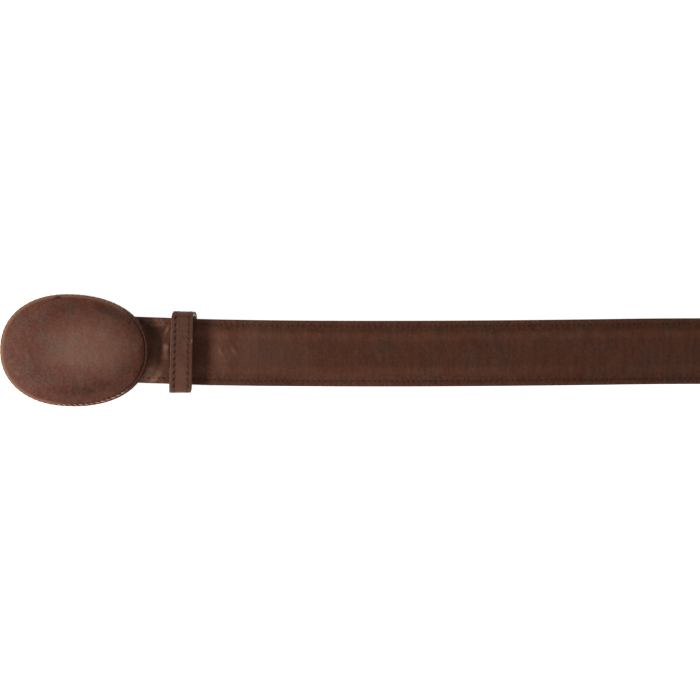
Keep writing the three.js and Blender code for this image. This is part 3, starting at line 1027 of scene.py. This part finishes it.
def make_core():
    """The metal inside the buckle: domed plate, wire loop with its bar, and post, as one piece."""
    depth = COVER_THICK + GAP
    face = dome_rows(depth, PLATE_ROWS)
    back = dome_rows(depth + PLATE_THICK, PLATE_ROWS)
    face[-1] = (face[-1][0], COVER_UNDER)
    back[-1] = (back[-1][0], COVER_UNDER)
    plate = [oval_ring(scale, up, PLATE_SIDES) for scale, up in face + back[::-1]]
    core = mesh_object("buckle_core", *lofted(to_buckle(plate)))
    middle_depth = depth + PLATE_THICK / 2
    top = dome_height_at(-LOOP_REACH, LOOP_HALF, middle_depth)
    wire = rounded_path((
        (-LOOP_REACH, -LOOP_HALF, top),
        (-LOOP_REACH, -LOOP_HALF, LOOP_ELBOW),
        (0, -LOOP_HALF, 0),
        (0, LOOP_HALF, 0),
        (-LOOP_REACH, LOOP_HALF, LOOP_ELBOW),
        (-LOOP_REACH, LOOP_HALF, top),
    ), LOOP_CORNER)
    head = BACKING_LIFT - POST_LENGTH + POST_HEAD_RADIUS
    shoulder = math.acos(POST_RADIUS / POST_HEAD_RADIUS)
    rows = []
    for turn in np.linspace(-math.pi / 2 + POST_FOOT_TURN, shoulder, POST_HEAD_ROWS):
        radius, rise = POST_HEAD_RADIUS * math.cos(turn), POST_HEAD_RADIUS * math.sin(turn)
        rows.append((radius, head + rise))
    rows.append((POST_RADIUS, head + POST_NECK))
    rows.append((POST_RADIUS, dome_height_at(-POST_FROM_BAR, 0, middle_depth)))
    post = turned(rows) + [-POST_FROM_BAR, 0, 0]
    parts = [lofted(to_buckle(rings)) for rings in (tube(wire, WIRE_RADIUS), post)]
    apply_boolean(core, parts, "UNION")
    return core


# Face of a snap's cap, from its dimpled middle to its side
SNAP_CAP_ROWS = (
    # radius, height over the cap's lowest ring
    (0.3, 0.25),
    (1.3, 0.22),
    (1.6, 0.02),
    (2.6, 0.0),
    (3.6, 0.1),
    (4.15, 0.35),
    (SNAP_CAP_RADIUS, 0.75),
)
SNAP_CAP_EDGE = (
    # inward, height under the cap's top
    (0.05, 0.1),
    (0.2, 0.0),
)
SNAP_STEM_BEVEL = 0.3


def make_snap(name, along):
    top = FLAP_UNDER - GAP
    bottom = top - SNAP_CAP_THICK
    stem_top = STRAP_UNDER + SNAP_BORE_DEPTH - GAP
    rows = [(radius, bottom + rise) for radius, rise in SNAP_CAP_ROWS]
    rows += [(SNAP_CAP_RADIUS - inward, top - drop) for inward, drop in SNAP_CAP_EDGE]
    rows += [
        (SNAP_STEM_RADIUS, top),
        (SNAP_STEM_RADIUS, stem_top - SNAP_STEM_BEVEL),
        (SNAP_STEM_RADIUS - SNAP_STEM_BEVEL, stem_top),
    ]
    rings = turned(rows) * MM + place(along, SNAP_ACROSS, 0.0)
    return mesh_object(name, *lofted(rings))


# Materials
NOISE_LOW = 0.3
NOISE_HIGH = 0.7
MARK_CORE = 0.3
ENDLESS = 1e4


class Graph:
    """A material's node tree, with a short call for each kind of node that it needs."""

    def __init__(self, name, roughness=0.6, specular=0.4, metallic=0.0):
        self.material = bpy.data.materials.new(name)
        self.material.use_nodes = True
        self.tree = self.material.node_tree
        self.shader = self.tree.nodes["Principled BSDF"]
        self.shader.inputs["Roughness"].default_value = roughness
        self.shader.inputs["Specular IOR Level"].default_value = specular
        self.shader.inputs["Metallic"].default_value = metallic

    def feed(self, socket, value):
        if isinstance(value, bpy.types.NodeSocket):
            self.tree.links.new(value, socket)
        elif isinstance(value, (tuple, list)) and socket.type == "RGBA":
            socket.default_value = (*value, 1.0)
        else:
            socket.default_value = value

    def put(self, kind, inputs, **settings):
        node = self.tree.nodes.new(kind)
        for name, value in settings.items():
            setattr(node, name, value)
        for name, value in inputs.items():
            self.feed(node.inputs[name], value)
        return node

    def spot(self):
        """Places on the belt at rest, in the frame's millimetres."""
        return self.shade(self.put("ShaderNodeTexCoord", {}).outputs["Object"], 1 / MM)

    def stretched(self, spot, scales, turn=0.0):
        inputs = {"Vector": spot, "Scale": scales, "Rotation": (0, 0, turn)}
        return self.put("ShaderNodeMapping", inputs).outputs[0]

    def value(self, name):
        return self.put("ShaderNodeAttribute", {}, attribute_name=name).outputs["Fac"]

    def math(self, operation, *values):
        return self.put("ShaderNodeMath", dict(enumerate(values)), operation=operation).outputs[0]

    def times(self, first, second):
        return self.math("MULTIPLY", first, second)

    def minus(self, first, second):
        return self.math("SUBTRACT", first, second)

    def apart(self, first, second):
        """How far two values are from each other."""
        return self.math("ABSOLUTE", self.minus(first, second))

    def noise(self, spot, scale, detail=3.0, roughness=0.55):
        inputs = {"Vector": spot, "Scale": scale, "Detail": detail, "Roughness": roughness}
        return self.put("ShaderNodeTexNoise", inputs).outputs["Fac"]

    def cells(self, spot, scale):
        inputs = {"Vector": spot, "Scale": scale}
        return self.put("ShaderNodeTexVoronoi", inputs, feature="F1").outputs["Distance"]

    def fade(self, value, low, high, first=0.0, last=1.0):
        """A value that eases from first to last while another goes from low to high."""
        names = ("Value", "From Min", "From Max", "To Min", "To Max")
        inputs = dict(zip(names, (value, low, high, first, last)))
        node = self.put("ShaderNodeMapRange", inputs, interpolation_type="SMOOTHSTEP")
        return node.outputs["Result"]

    def between(self, noise, first, last):
        """A noise spread out between two values."""
        return self.fade(noise, NOISE_LOW, NOISE_HIGH, first, last)

    def blend(self, share, first, last):
        """A blend of two colours, by the colour sockets that Mix has at places 6 and 7."""
        inputs = {0: share, 6: first, 7: last}
        return self.put("ShaderNodeMix", inputs, data_type="RGBA", blend_type="MIX").outputs[2]

    def mottle(self, noise, first, last):
        """Two colours in soft patches."""
        return self.blend(self.fade(noise, 0.35, 0.65), first, last)

    def shade(self, colour, factor):
        """A colour made lighter or darker by a factor."""
        inputs = {0: colour, "Scale": factor}
        return self.put("ShaderNodeVectorMath", inputs, operation="SCALE").outputs[0]

    def add(self, first, second):
        return self.put("ShaderNodeVectorMath", {0: first, 1: second}, operation="ADD").outputs[0]

    def mark(self, spot, pixel, half_length, half_width, turn):
        """A soft oval mark round a pixel of the photograph, with half sizes in pixels."""
        x, y = photo_spot(pixel)
        inputs = {
            "Vector": spot,
            "Location": (x, y, 0),
            "Rotation": (0, 0, math.radians(turn)),
            "Scale": (half_length * MM_PER_PIXEL, half_width * MM_PER_PIXEL, ENDLESS),
        }
        near = self.put("ShaderNodeMapping", inputs, vector_type="TEXTURE").outputs[0]
        off = self.put("ShaderNodeVectorMath", {0: near}, operation="LENGTH").outputs["Value"]
        return self.fade(off, MARK_CORE, 1.0, 1.0, 0.0)

    def bump(self, height, distance, strength=1.0, normal=None):
        inputs = {"Height": height, "Distance": distance * MM, "Strength": strength}
        if normal is not None:
            inputs["Normal"] = normal
        return self.put("ShaderNodeBump", inputs).outputs["Normal"]

    def finish(self, colour=None, roughness=None, normal=None):
        for name, value in (("Base Color", colour), ("Roughness", roughness), ("Normal", normal)):
            if value is not None:
                self.feed(self.shader.inputs[name], value)
        return self.material


def photo_spot(pixel):
    """The place, in the frame's millimetres, that a pixel of the photograph shows."""
    x = BAR.x / MM + (pixel[0] - BAR_PIXEL[0]) * MM_PER_PIXEL
    y = BAR.y / MM - (pixel[1] - BAR_PIXEL[1]) * MM_PER_PIXEL
    return x, y


def tinted(graph, spot, brown, red, grey, depth):
    """Mottled oiled leather: brown drifting to red and grey, with fine light and dark flecks."""
    slow = graph.noise(spot, 0.07, 4.0, 0.6)
    drift = graph.noise(graph.stretched(spot, (1, 0.6, 1)), 0.19, 5.0, 0.65)
    flecks = graph.noise(spot, 0.75, 4.0, 0.7)
    colour = graph.blend(graph.fade(drift, 0.42, 0.62), brown, red)
    colour = graph.blend(graph.fade(slow, 0.45, 0.68), colour, grey)
    colour = graph.shade(colour, graph.between(flecks, 1 - depth, 1 + depth))
    return graph.shade(colour, graph.fade(drift, 0.25, 0.75, 1 + 0.7 * depth, 1 - 0.7 * depth))


def grained(graph, spot, strength=1.0):
    """Bump of oiled leather: small pebbles, pores and slow wrinkles."""
    pebbles = graph.cells(spot, 0.95)
    pores = graph.noise(spot, 2.6, 3.0)
    wrinkles = graph.noise(spot, 0.33, 4.0, 0.6)
    normal = graph.bump(wrinkles, 0.45, 0.8 * strength)
    normal = graph.bump(pebbles, 0.1, 0.6 * strength, normal)
    return graph.bump(pores, 0.05, 0.6 * strength, normal)


def needle_holes(graph, run, side, pitch, radius, lean=0.0, longer=1.0):
    """Dark dots between stitches, where run counts from the middle of a gap."""
    off_run = graph.math("WRAP", run, pitch / 2, -pitch / 2)
    skewed = graph.math("ADD", graph.math("DIVIDE", off_run, longer), graph.times(side, lean))
    squares = graph.math("ADD", graph.times(skewed, skewed), graph.times(side, side))
    return graph.fade(graph.math("SQRT", squares), 0.4 * radius, radius, 1.0, 0.0)


def leather_roughness(graph, spot, low, high):
    return graph.between(graph.noise(spot, 0.4, 4.0), low, high)


# Runs at which the seam starts: in the fold on the face, and past the flap on the back
FACE_SEAM_START = 2.0
past_nose = STRIP_RUN > NOSE_RUN
BACK_SEAM_START = float(np.interp(FLAP_END + 3.0, STRIP[past_nose, 0], STRIP_RUN[past_nose]))

STRAP_BROWN = (0.086, 0.0282, 0.0132)
STRAP_RED = (0.094, 0.0265, 0.0124)
STRAP_GREY = (0.08, 0.0315, 0.017)
# Painted light along the padded ridge, this far in from the edge
LIT_RIDGE_INWARD = 8.9
# Painted shade and light in the valley inside the ridge, this far in from the edge
SHADED_VALLEY_INWARD = 5.0
EDGE_PAINT = (0.022, 0.011, 0.008)
RAW_EDGE = (0.07, 0.035, 0.022)
NATURAL = (0.40, 0.30, 0.205)
NATURAL_DARK = (0.31, 0.215, 0.14)
CREAM = (0.68, 0.57, 0.44)
KEEPER_BROWN = (0.106, 0.0395, 0.0215)
KEEPER_RED = (0.117, 0.038, 0.022)
KEEPER_GREY = (0.097, 0.042, 0.026)
BUCKLE_BROWN = (0.108, 0.04, 0.0245)
BUCKLE_RED = (0.12, 0.035, 0.021)
BUCKLE_GREY = (0.1, 0.047, 0.032)
BUCKLE_WORN_AND_LIT = (0.235, 0.115, 0.062)
# The rim's redder brown, which grows into painted shade at its right end
RIM_BROWN_AND_SHADE = (0.088, 0.022, 0.008)
HOLE = (0.036, 0.005, 0.001)
SUEDE = (0.15, 0.072, 0.047)
SUEDE_DARK = (0.105, 0.05, 0.034)
NICKEL = (0.52, 0.49, 0.44)
NICKEL_DARK = (0.42, 0.39, 0.34)

# Threads: light and dark, and for the rim a painted shade colour at its right end; the rim thread's
# light colour also stands in part for highlights on the stitches
STRAP_THREAD = ((0.098, 0.037, 0.021), (0.074, 0.027, 0.015))
KEEPER_THREAD = ((0.09, 0.04, 0.028), (0.065, 0.028, 0.02))
RIM_THREAD = ((0.56, 0.28, 0.18), (0.31, 0.145, 0.09), (0.082, 0.031, 0.017))

# What a light mark adds to the colour for each unit of its factor over one; most light marks are
# painted light
PALE = (0.09, 0.055, 0.04)
STRAP_PALE = (0.09, 0.049, 0.035)

# Marks on the buckle's leather, lighter where the factor is over one: dark nicks at the top edge,
# painted shade on the upper shoulder, darker patches along the lower shoulder, and a paler crown
# that is partly wear and partly painted sheen
BUCKLE_WEAR_AND_SHADE_MARKS = (
    # pixel across, pixel down, half length, half width, turn, factor
    (42.7, 331.0, 3.2, 1.1, 88, 1.4),
    (72.4, 364.0, 1.6, 1.1, 0, 1.6),
    (58.6, 297.6, 5.4, 2.1, 8, 0.36),
    (54.3, 299.6, 2.6, 1.5, 35, 0.62),
    (131.0, 323.0, 2.4, 3.0, 0, 0.62),
    (101.0, 386.0, 17.0, 9.0, 12, 0.72),
    (82.0, 391.0, 16.0, 7.5, 2, 0.7),
    (62.0, 390.0, 12.0, 4.5, -12, 0.85),
    (79.5, 385.0, 2.5, 5.0, 0, 0.85),
    (108.0, 311.0, 24.0, 6.0, -22, 0.72),
    (70.0, 308.0, 22.0, 7.0, 0, 0.86),
    (80.0, 348.0, 1.2, 30.0, 0, 1.1),
    (88.0, 348.0, 58.0, 38.0, 0, 1.7),
)
# Painted light on the keeper's front: its lower end lighter, where it faces the key light, and a
# highlight at its right edge
KEEPER_LIGHT_MARKS = (
    # pixel across, pixel down, half length, half width, turn, factor
    (181.5, 378.0, 8.0, 22.0, 0, 1.22),
    (192.6, 341.0, 1.0, 3.0, 0, 2.4),
)
# Marks on the strap's face, most of them painted light and shade: the buckle's shadow and a shadow
# beside the keeper, lit patches beside that shadow, highlights on creases and over the snaps, and
# darker and lighter bands along the strap
STRAP_LIGHT_AND_SHADE_MARKS = (
    # pixel across, pixel down, half length, half width, turn, factor
    (152.5, 333.0, 13.0, 8.0, -50, 0.55),
    (160.8, 349.5, 3.4, 3.6, 0, 0.42),
    (163.5, 368.0, 7.0, 12.0, 0, 0.8),
    (158.0, 350.0, 24.0, 44.0, 0, 1.22),
    (151.0, 365.0, 10.0, 9.0, 20, 1.8),
    (149.5, 372.0, 8.0, 6.0, 30, 2.9),
    (157.0, 374.0, 6.0, 5.0, 0, 1.4),
    (169.4, 353.0, 1.7, 24.0, 0, 0.5),
    (155.0, 322.5, 15.0, 6.0, -8, 1.95),
    (150.0, 322.5, 3.5, 1.6, 20, 0.7),
    (159.0, 321.5, 3.0, 1.4, 0, 0.7),
    (162.5, 331.0, 3.0, 8.0, 40, 0.75),
    (167.2, 329.0, 8.5, 2.0, 60, 1.6),
    (165.6, 347.2, 3.7, 5.2, 10, 2.6),
    (163.5, 351.0, 6.0, 3.0, -30, 1.6),
    (164.5, 356.5, 6.0, 4.5, 0, 1.5),
    (151.0, 373.0, 15.0, 11.0, 10, 1.7),
    (147.5, 379.0, 13.0, 6.0, 0, 3.5),
    (143.0, 379.0, 6.0, 6.0, 0, 1.7),
    (222.0, 352.0, 14.0, 30.0, 0, 1.35),
    (245.0, 351.0, 20.0, 28.0, 0, 1.15),
    (275.0, 350.0, 48.0, 50.0, 0, 1.26),
    (221.5, 353.5, 7.0, 2.3, -58, 1.55),
    (234.5, 352.5, 7.5, 2.8, -58, 1.42),
    (237.5, 344.0, 4.0, 2.4, -50, 1.3),
    (350.0, 379.0, 90.0, 8.0, 0, 1.12),
    (640.0, 373.5, 150.0, 14.0, 0, 0.84),
    (640.0, 326.0, 110.0, 14.0, 0, 0.94),
    (228.5, 347.0, 5.0, 4.5, 0, 0.9),
    (538.0, 328.0, 1.8, 1.1, 0, 1.5),
)


def marked(graph, spot, colour, marks, pale=PALE):
    """A colour with the light and dark marks of a table on it, where the tables give painted light
    and shade as well as tone.
    """
    for pixel_x, pixel_y, half_length, half_width, turn, factor in marks:
        share = graph.mark(spot, (pixel_x, pixel_y), half_length, half_width, turn)
        if factor > 1:
            paler = graph.shade(pale, graph.times(share, factor - 1))
            colour = graph.add(colour, paler)
        else:
            colour = graph.shade(colour, graph.math("MULTIPLY_ADD", share, factor - 1, 1.0))
    return colour


def strap_material():
    graph = Graph("strap leather", specular=0.2)
    spot = graph.spot()
    inward = graph.value("inward")
    face = graph.fade(graph.value("face"), 0.35, 0.65)
    colour = tinted(graph, spot, STRAP_BROWN, STRAP_RED, STRAP_GREY, 0.19)
    streaks = graph.noise(graph.stretched(spot, (0.55, 0.05, 0.3)), 1.0, 4.0, 0.6)
    colour = graph.shade(colour, graph.between(streaks, 0.9, 1.1))
    # Painted highlight: the face is lighter within about 2 mm of its rounded edge
    colour = graph.shade(colour, graph.fade(inward, 0.7, 2.0, 1.22, 1.0))
    along = graph.value("along")
    across = graph.value("across")
    # Painted light: lighter along the padded ridge
    colour = graph.shade(colour, graph.fade(graph.apart(inward, LIT_RIDGE_INWARD), 0.3, 4.2, 1.27, 1.0))
    # Painted shade and light in the valley: darker on the upper side and lighter on the lower side,
    # as the key light falls
    shaded_valley = graph.fade(graph.apart(inward, SHADED_VALLEY_INWARD), 0.3, 1.8, 1.0, 0.0)
    side_shade = graph.fade(across, -4.0, 4.0, 0.06, -0.08)
    colour = graph.shade(colour, graph.math("MULTIPLY_ADD", shaded_valley, side_shade, 1.0))
    seam_band = graph.fade(inward, 5.0, 7.0, 1.0, 0.0)
    specks = graph.noise(graph.stretched(spot, (1.1, 0.42, 1.0), math.radians(-35)), 1.0, 3.0, 0.65)
    speck_shade = graph.times(graph.fade(specks, 0.35, 0.65, -0.2, 0.26), seam_band)
    colour = graph.shade(colour, graph.math("ADD", speck_shade, 1.0))
    run = graph.value("run")
    gap_run = graph.minus(run, seam_gap(FACE_SEAM_START))
    holes = needle_holes(graph, gap_run, graph.minus(inward, STITCH_INSET), STITCH_PITCH, 0.75)
    tip_start = TIP_END - TIP_LENGTH
    holes = graph.times(holes, graph.fade(along, tip_start - 1, tip_start, 1.0, 0.0))
    open_side = graph.fade(across, -5.0, 0.0, 1.0, 0.5)
    open_low = graph.times(graph.fade(along, 34.0, 60.0, 1.0, 0.0), open_side)
    hole_share = graph.times(holes, graph.math("MULTIPLY_ADD", open_low, 0.6, 0.15))
    past_fold = graph.fade(run, NOSE_RUN - 1, NOSE_RUN + 1)
    # The strap's marks, mostly painted light and shade, go on past the fold
    colour = graph.blend(past_fold, colour, marked(graph, spot, colour, STRAP_LIGHT_AND_SHADE_MARKS, STRAP_PALE))
    colour = graph.blend(hole_share, colour, HOLE)
    lining = graph.mottle(graph.noise(spot, 0.12, 5.0, 0.6), NATURAL, NATURAL_DARK)
    lining = graph.shade(lining, graph.between(graph.noise(spot, 1.4, 3.0), 0.93, 1.07))
    colour = graph.blend(face, lining, colour)
    painted = graph.fade(inward, 0.22, 0.55, 1.0, 0.0)
    colour = graph.blend(painted, colour, EDGE_PAINT)
    normal = graph.bump(graph.times(holes, -1.0), 0.25, 0.8, grained(graph, spot))
    return graph.finish(colour, leather_roughness(graph, spot, 0.52, 0.68), normal)


def keeper_material():
    graph = Graph("keeper leather", specular=0.2)
    spot = graph.spot()
    pitch = keeper_pitch(keeper_run(KEEPER_SEAM_STEP)[1][-1])
    colour = tinted(graph, spot, KEEPER_BROWN, KEEPER_RED, KEEPER_GREY, 0.18)
    inward = graph.value("inward")
    gap = 0.5 * pitch - (pitch - KEEPER_STITCH_LENGTH) / 2
    gap_run = graph.minus(graph.value("run"), gap)
    holes = 0.0
    for seam, _, lean, share in KEEPER_SEAMS:
        side = graph.minus(graph.value("sideways"), seam)
        row = needle_holes(graph, gap_run, side, pitch, 1.2, lean, 1.15)
        holes = graph.math("MAXIMUM", holes, graph.times(row, share))
    colour = graph.blend(holes, colour, HOLE)
    # Painted light on the keeper's front
    colour = marked(graph, spot, colour, KEEPER_LIGHT_MARKS)
    under_face = graph.fade(graph.value("depth"), 0.18, 0.4)
    raw = graph.times(graph.fade(inward, 0.02, 0.1, 1.0, 0.0), under_face)
    colour = graph.blend(raw, colour, RAW_EDGE)
    normal = graph.bump(graph.times(holes, -1.0), 0.15, 0.8, grained(graph, spot))
    return graph.finish(colour, leather_roughness(graph, spot, 0.52, 0.68), normal)


def lining_material():
    graph = Graph("natural lining", roughness=0.75, specular=0.25)
    spot = graph.spot()
    colour = graph.mottle(graph.noise(spot, 0.15, 5.0, 0.6), CREAM, NATURAL)
    colour = graph.shade(colour, graph.between(graph.noise(spot, 1.3, 3.0), 0.92, 1.06))
    return graph.finish(colour, None, grained(graph, spot, 0.7))


# Where along the frame, in millimetres, the rim's groove, leather and thread get painted shade
# toward the buckle's right end
SHADED_GROOVE = (BAR.x / MM + 12, BAR.x / MM + 17.5)
SHADED_RIM = (BAR.x / MM + 5, BAR.x / MM + 15)
SHADED_THREAD = (BAR.x / MM, BAR.x / MM + 9)
# The groove's place in shares of the rim's width, and that of the worn edge band, which also
# carries painted light, in from the outline
GROOVE_SHARE = 0.85
WORN_LIT_INWARD = 0.8


def cover_material():
    graph = Graph("buckle leather", specular=0.13)
    spot = graph.spot()
    inward = graph.value("inward")
    height = graph.value("height")
    colour = tinted(graph, spot, BUCKLE_BROWN, BUCKLE_RED, BUCKLE_GREY, 0.24)
    scuffs = graph.noise(graph.stretched(spot, (0.25, 1.0, 1.0), math.radians(20)), 1.3, 4.0, 0.7)
    colour = graph.shade(colour, graph.fade(scuffs, 0.58, 0.78, 1.0, 1.24))
    seamed = graph.value("seamed")
    # Painted shade in the rim's groove, deepening toward the buckle's right end, where the rim
    # faces away from the key light
    from_groove = graph.apart(inward, graph.times(graph.value("rim"), GROOVE_SHARE))
    dark = graph.fade(from_groove, 0.1, 0.6, 0.55, 0.0)
    x = graph.put("ShaderNodeSeparateXYZ", {0: spot}).outputs[0]
    at_end = graph.fade(x, *SHADED_GROOVE, 0.3, 1.0)
    dark = graph.times(graph.times(dark, seamed), at_end)
    # Paler band just inside the edge where no seam shows, on the upper left: wear, and painted
    # light where the edge faces the key light
    near_edge = graph.fade(graph.apart(inward, WORN_LIT_INWARD), 0.2, 2.2, 0.75, 0.0)
    worn_and_lit = graph.times(near_edge, graph.minus(1.0, seamed))
    colour = graph.blend(worn_and_lit, colour, BUCKLE_WORN_AND_LIT)
    # The buckle's marks: wear, painted shade on the upper shoulder and a painted sheen on the crown
    colour = marked(graph, spot, colour, BUCKLE_WEAR_AND_SHADE_MARKS)
    # The seamed rim takes a redder brown, and toward the right end, where it faces away from the
    # key light, painted shade
    on_rim = graph.times(graph.fade(inward, 1.2, 1.7, 1.0, 0.0), seamed)
    rim_shade_share = graph.times(on_rim, graph.fade(x, *SHADED_RIM, 0.3, 0.85))
    colour = graph.blend(rim_shade_share, colour, RIM_BROWN_AND_SHADE)
    colour = graph.shade(colour, graph.minus(1.0, dark))
    colour = graph.shade(colour, graph.fade(inward, 0.15, 0.6, 0.45, 1.0))
    low = graph.fade(height, -1.05, -0.8, 1.0, 0.0)
    cut = graph.times(low, graph.fade(inward, 0.02, 0.2, 1.0, 0.0))
    colour = graph.blend(cut, colour, EDGE_PAINT)
    return graph.finish(colour, leather_roughness(graph, spot, 0.5, 0.66), grained(graph, spot))


def suede_material():
    graph = Graph("buckle backing", roughness=0.9, specular=0.2)
    spot = graph.spot()
    nap = graph.noise(spot, 1.1, 5.0, 0.7)
    colour = graph.mottle(graph.noise(spot, 0.12, 4.0), SUEDE, SUEDE_DARK)
    colour = graph.shade(colour, graph.between(nap, 0.82, 1.16))
    return graph.finish(colour, None, graph.bump(nap, 0.12, 0.7))


def metal_material():
    graph = Graph("satin nickel", metallic=1.0)
    spot = graph.spot()
    haze = graph.noise(spot, 0.25, 4.0, 0.6)
    colour = graph.blend(graph.fade(haze, 0.35, 0.7), NICKEL, NICKEL_DARK)
    rubs = graph.noise(graph.stretched(spot, (0.4, 3.0, 1.0)), 1.5, 4.0, 0.7)
    return graph.finish(colour, graph.between(rubs, 0.26, 0.42), graph.bump(rubs, 0.015, 0.5))


def thread_material(name, light, dark, shaded_end=None, marks=()):
    """Twisted thread, each stitch a little different, with painted shade in another colour toward
    the right end and the marks of a table on it.
    """
    graph = Graph(name, roughness=0.7, specular=0.2)
    spot = graph.spot()
    own = graph.put("ShaderNodeNewGeometry", {}).outputs["Random Per Island"]
    colour = graph.blend(own, light, dark)
    twist = graph.noise(graph.stretched(spot, (1, 1, 1), math.radians(35)), 4.0, 2.0)
    colour = graph.shade(colour, graph.fade(twist, 0.35, 0.65, 0.85, 1.12))
    if shaded_end:
        x = graph.put("ShaderNodeSeparateXYZ", {0: spot}).outputs[0]
        colour = graph.blend(graph.fade(x, *SHADED_THREAD), colour, shaded_end)
    colour = marked(graph, spot, colour, marks, STRAP_PALE)
    return graph.finish(colour, None, graph.bump(twist, 0.06, 0.8))


# The belt's pieces, each with its material, on its body, hiding the frame's parts that it replaces
def settle(piece, material, body, slot, *nodes):
    piece.data.materials.clear()
    piece.data.materials.append(material)
    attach(piece, body)
    if nodes:
        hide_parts(*nodes)
    return piece


strap = make_strap()
punch_strap(strap)
settle(strap, strap_material(), "root", "strap_leather", "strap")

# The strap's thread takes the same painted light and shade marks as its leather
strap_thread = thread_material("brown thread", *STRAP_THREAD, marks=STRAP_LIGHT_AND_SHADE_MARKS)
for name, start, lift_of, outward, radius in (
    ("strap_stitches", FACE_SEAM_START, face_seam_lift, 1, STITCH_RADIUS),
    ("back_stitches", BACK_SEAM_START, back_seam_lift, -1, BACK_STITCH_RADIUS),
):
    stitches = make_strap_stitches(name, start, lift_of, outward, radius)
    settle(stitches, strap_thread, "root", "strap_leather")

keeper_grooves = (KEEPER_LEFT_SEAM, KEEPER_WIDTH - KEEPER_RIGHT_SEAM)
keeper = make_keeper_band("keeper_leather", 0.0, KEEPER_OUTER, KEEPER_ROUND, keeper_grooves)
settle(keeper, keeper_material(), "root", "keeper_leather", "keeper")
inside_face = KEEPER_OUTER + INSIDE_GAP
lining = make_keeper_band(
    "keeper_inside", inside_face, KEEPER_WALL, INSIDE_ROUND, shift=INSIDE_SHIFT
)
settle(lining, lining_material(), "root", "lining_leather", "keeper_lining")
keeper_thread = thread_material("keeper thread", *KEEPER_THREAD)
settle(make_keeper_stitches(), keeper_thread, "root", "keeper_leather")

metal = metal_material()
for number, along in enumerate(SNAP_ALONGS, 1):
    settle(make_snap(f"snap_stud_{number}", along), metal, "root", "metal", f"snap_{number}")

settle(make_cover(), cover_material(), "buckle", "buckle_leather", "buckle_cover")
settle(make_rim_stitches(), thread_material("rim thread", *RIM_THREAD), "buckle", "buckle_leather")
settle(make_backing(), suede_material(), "buckle", "buckle_leather", "buckle_backing")
settle(make_core(), metal, "buckle", "metal", "buckle_plate")


# Camera, straight over the middle of the photograph's frame, with its clipping in metres
CAMERA_CLIP = (0.01, 50)

photo_width = PHOTO_SIZE * MM_PER_PIXEL
middle_x, middle_y = photo_spot((PHOTO_SIZE / 2, PHOTO_SIZE / 2))
strap_plane = STRAP_UNDER + STRAP_THICK
camera_data = bpy.data.cameras.new("camera")
camera_data.sensor_width = SENSOR_WIDTH
camera_data.lens = SENSOR_WIDTH * (CAMERA_HEIGHT - strap_plane) / photo_width
camera_data.clip_start, camera_data.clip_end = CAMERA_CLIP
camera = linked("camera", camera_data)
camera.location = (middle_x * MM, middle_y * MM, CAMERA_HEIGHT * MM)
bpy.context.scene.camera = camera

# Key light from the left, low over the table, and an even pale surround
KEY_PIXEL = (70.5, 349.7)
KEY_UP = 15.0
KEY_TOWARDS = Vector((-0.74, -0.2, 0.64)).normalized()
KEY_POWER = 5.4
SURROUND = 0.37
FLOOR_GLOW = 0.84
FLOOR_WHITE = 0.8

# Sizes of the light and the floor, in metres
KEY_DISTANCE = 0.75
KEY_SIZE = 0.2
FLOOR_HALF = 15.0
FLOOR_DROP = 0.0001

key_data = bpy.data.lights.new("key", "AREA")
key_data.shape = "DISK"
key_data.size = KEY_SIZE
key_data.energy = KEY_POWER
key = linked("key", key_data)
key_x, key_y = photo_spot(KEY_PIXEL)
key.location = Vector((key_x * MM, key_y * MM, KEY_UP * MM)) + KEY_TOWARDS * KEY_DISTANCE
key.rotation_euler = KEY_TOWARDS.to_track_quat("Z", "Y").to_euler()

world = bpy.data.worlds.new("surround")
world.use_nodes = True
world.node_tree.nodes["Background"].inputs["Color"].default_value = (1, 1, 1, 1)
world.node_tree.nodes["Background"].inputs["Strength"].default_value = SURROUND
bpy.context.scene.world = world
bpy.context.scene.view_settings.view_transform = "Standard"
bpy.context.scene.view_settings.look = "None"

signs = ((-1, -1), (1, -1), (1, 1), (-1, 1))
floor_corners = [(x * FLOOR_HALF, y * FLOOR_HALF, -FLOOR_DROP) for x, y in signs]
floor = mesh_object("floor", floor_corners, [(0, 1, 2, 3)], smooth_faces=False)
floor_graph = Graph("pale table", roughness=0.9, specular=0.1)
floor_graph.shader.inputs["Base Color"].default_value = (*[FLOOR_WHITE] * 3, 1)
floor_graph.shader.inputs["Emission Color"].default_value = (1, 1, 1, 1)
floor_graph.shader.inputs["Emission Strength"].default_value = FLOOR_GLOW
floor.data.materials.append(floor_graph.material)
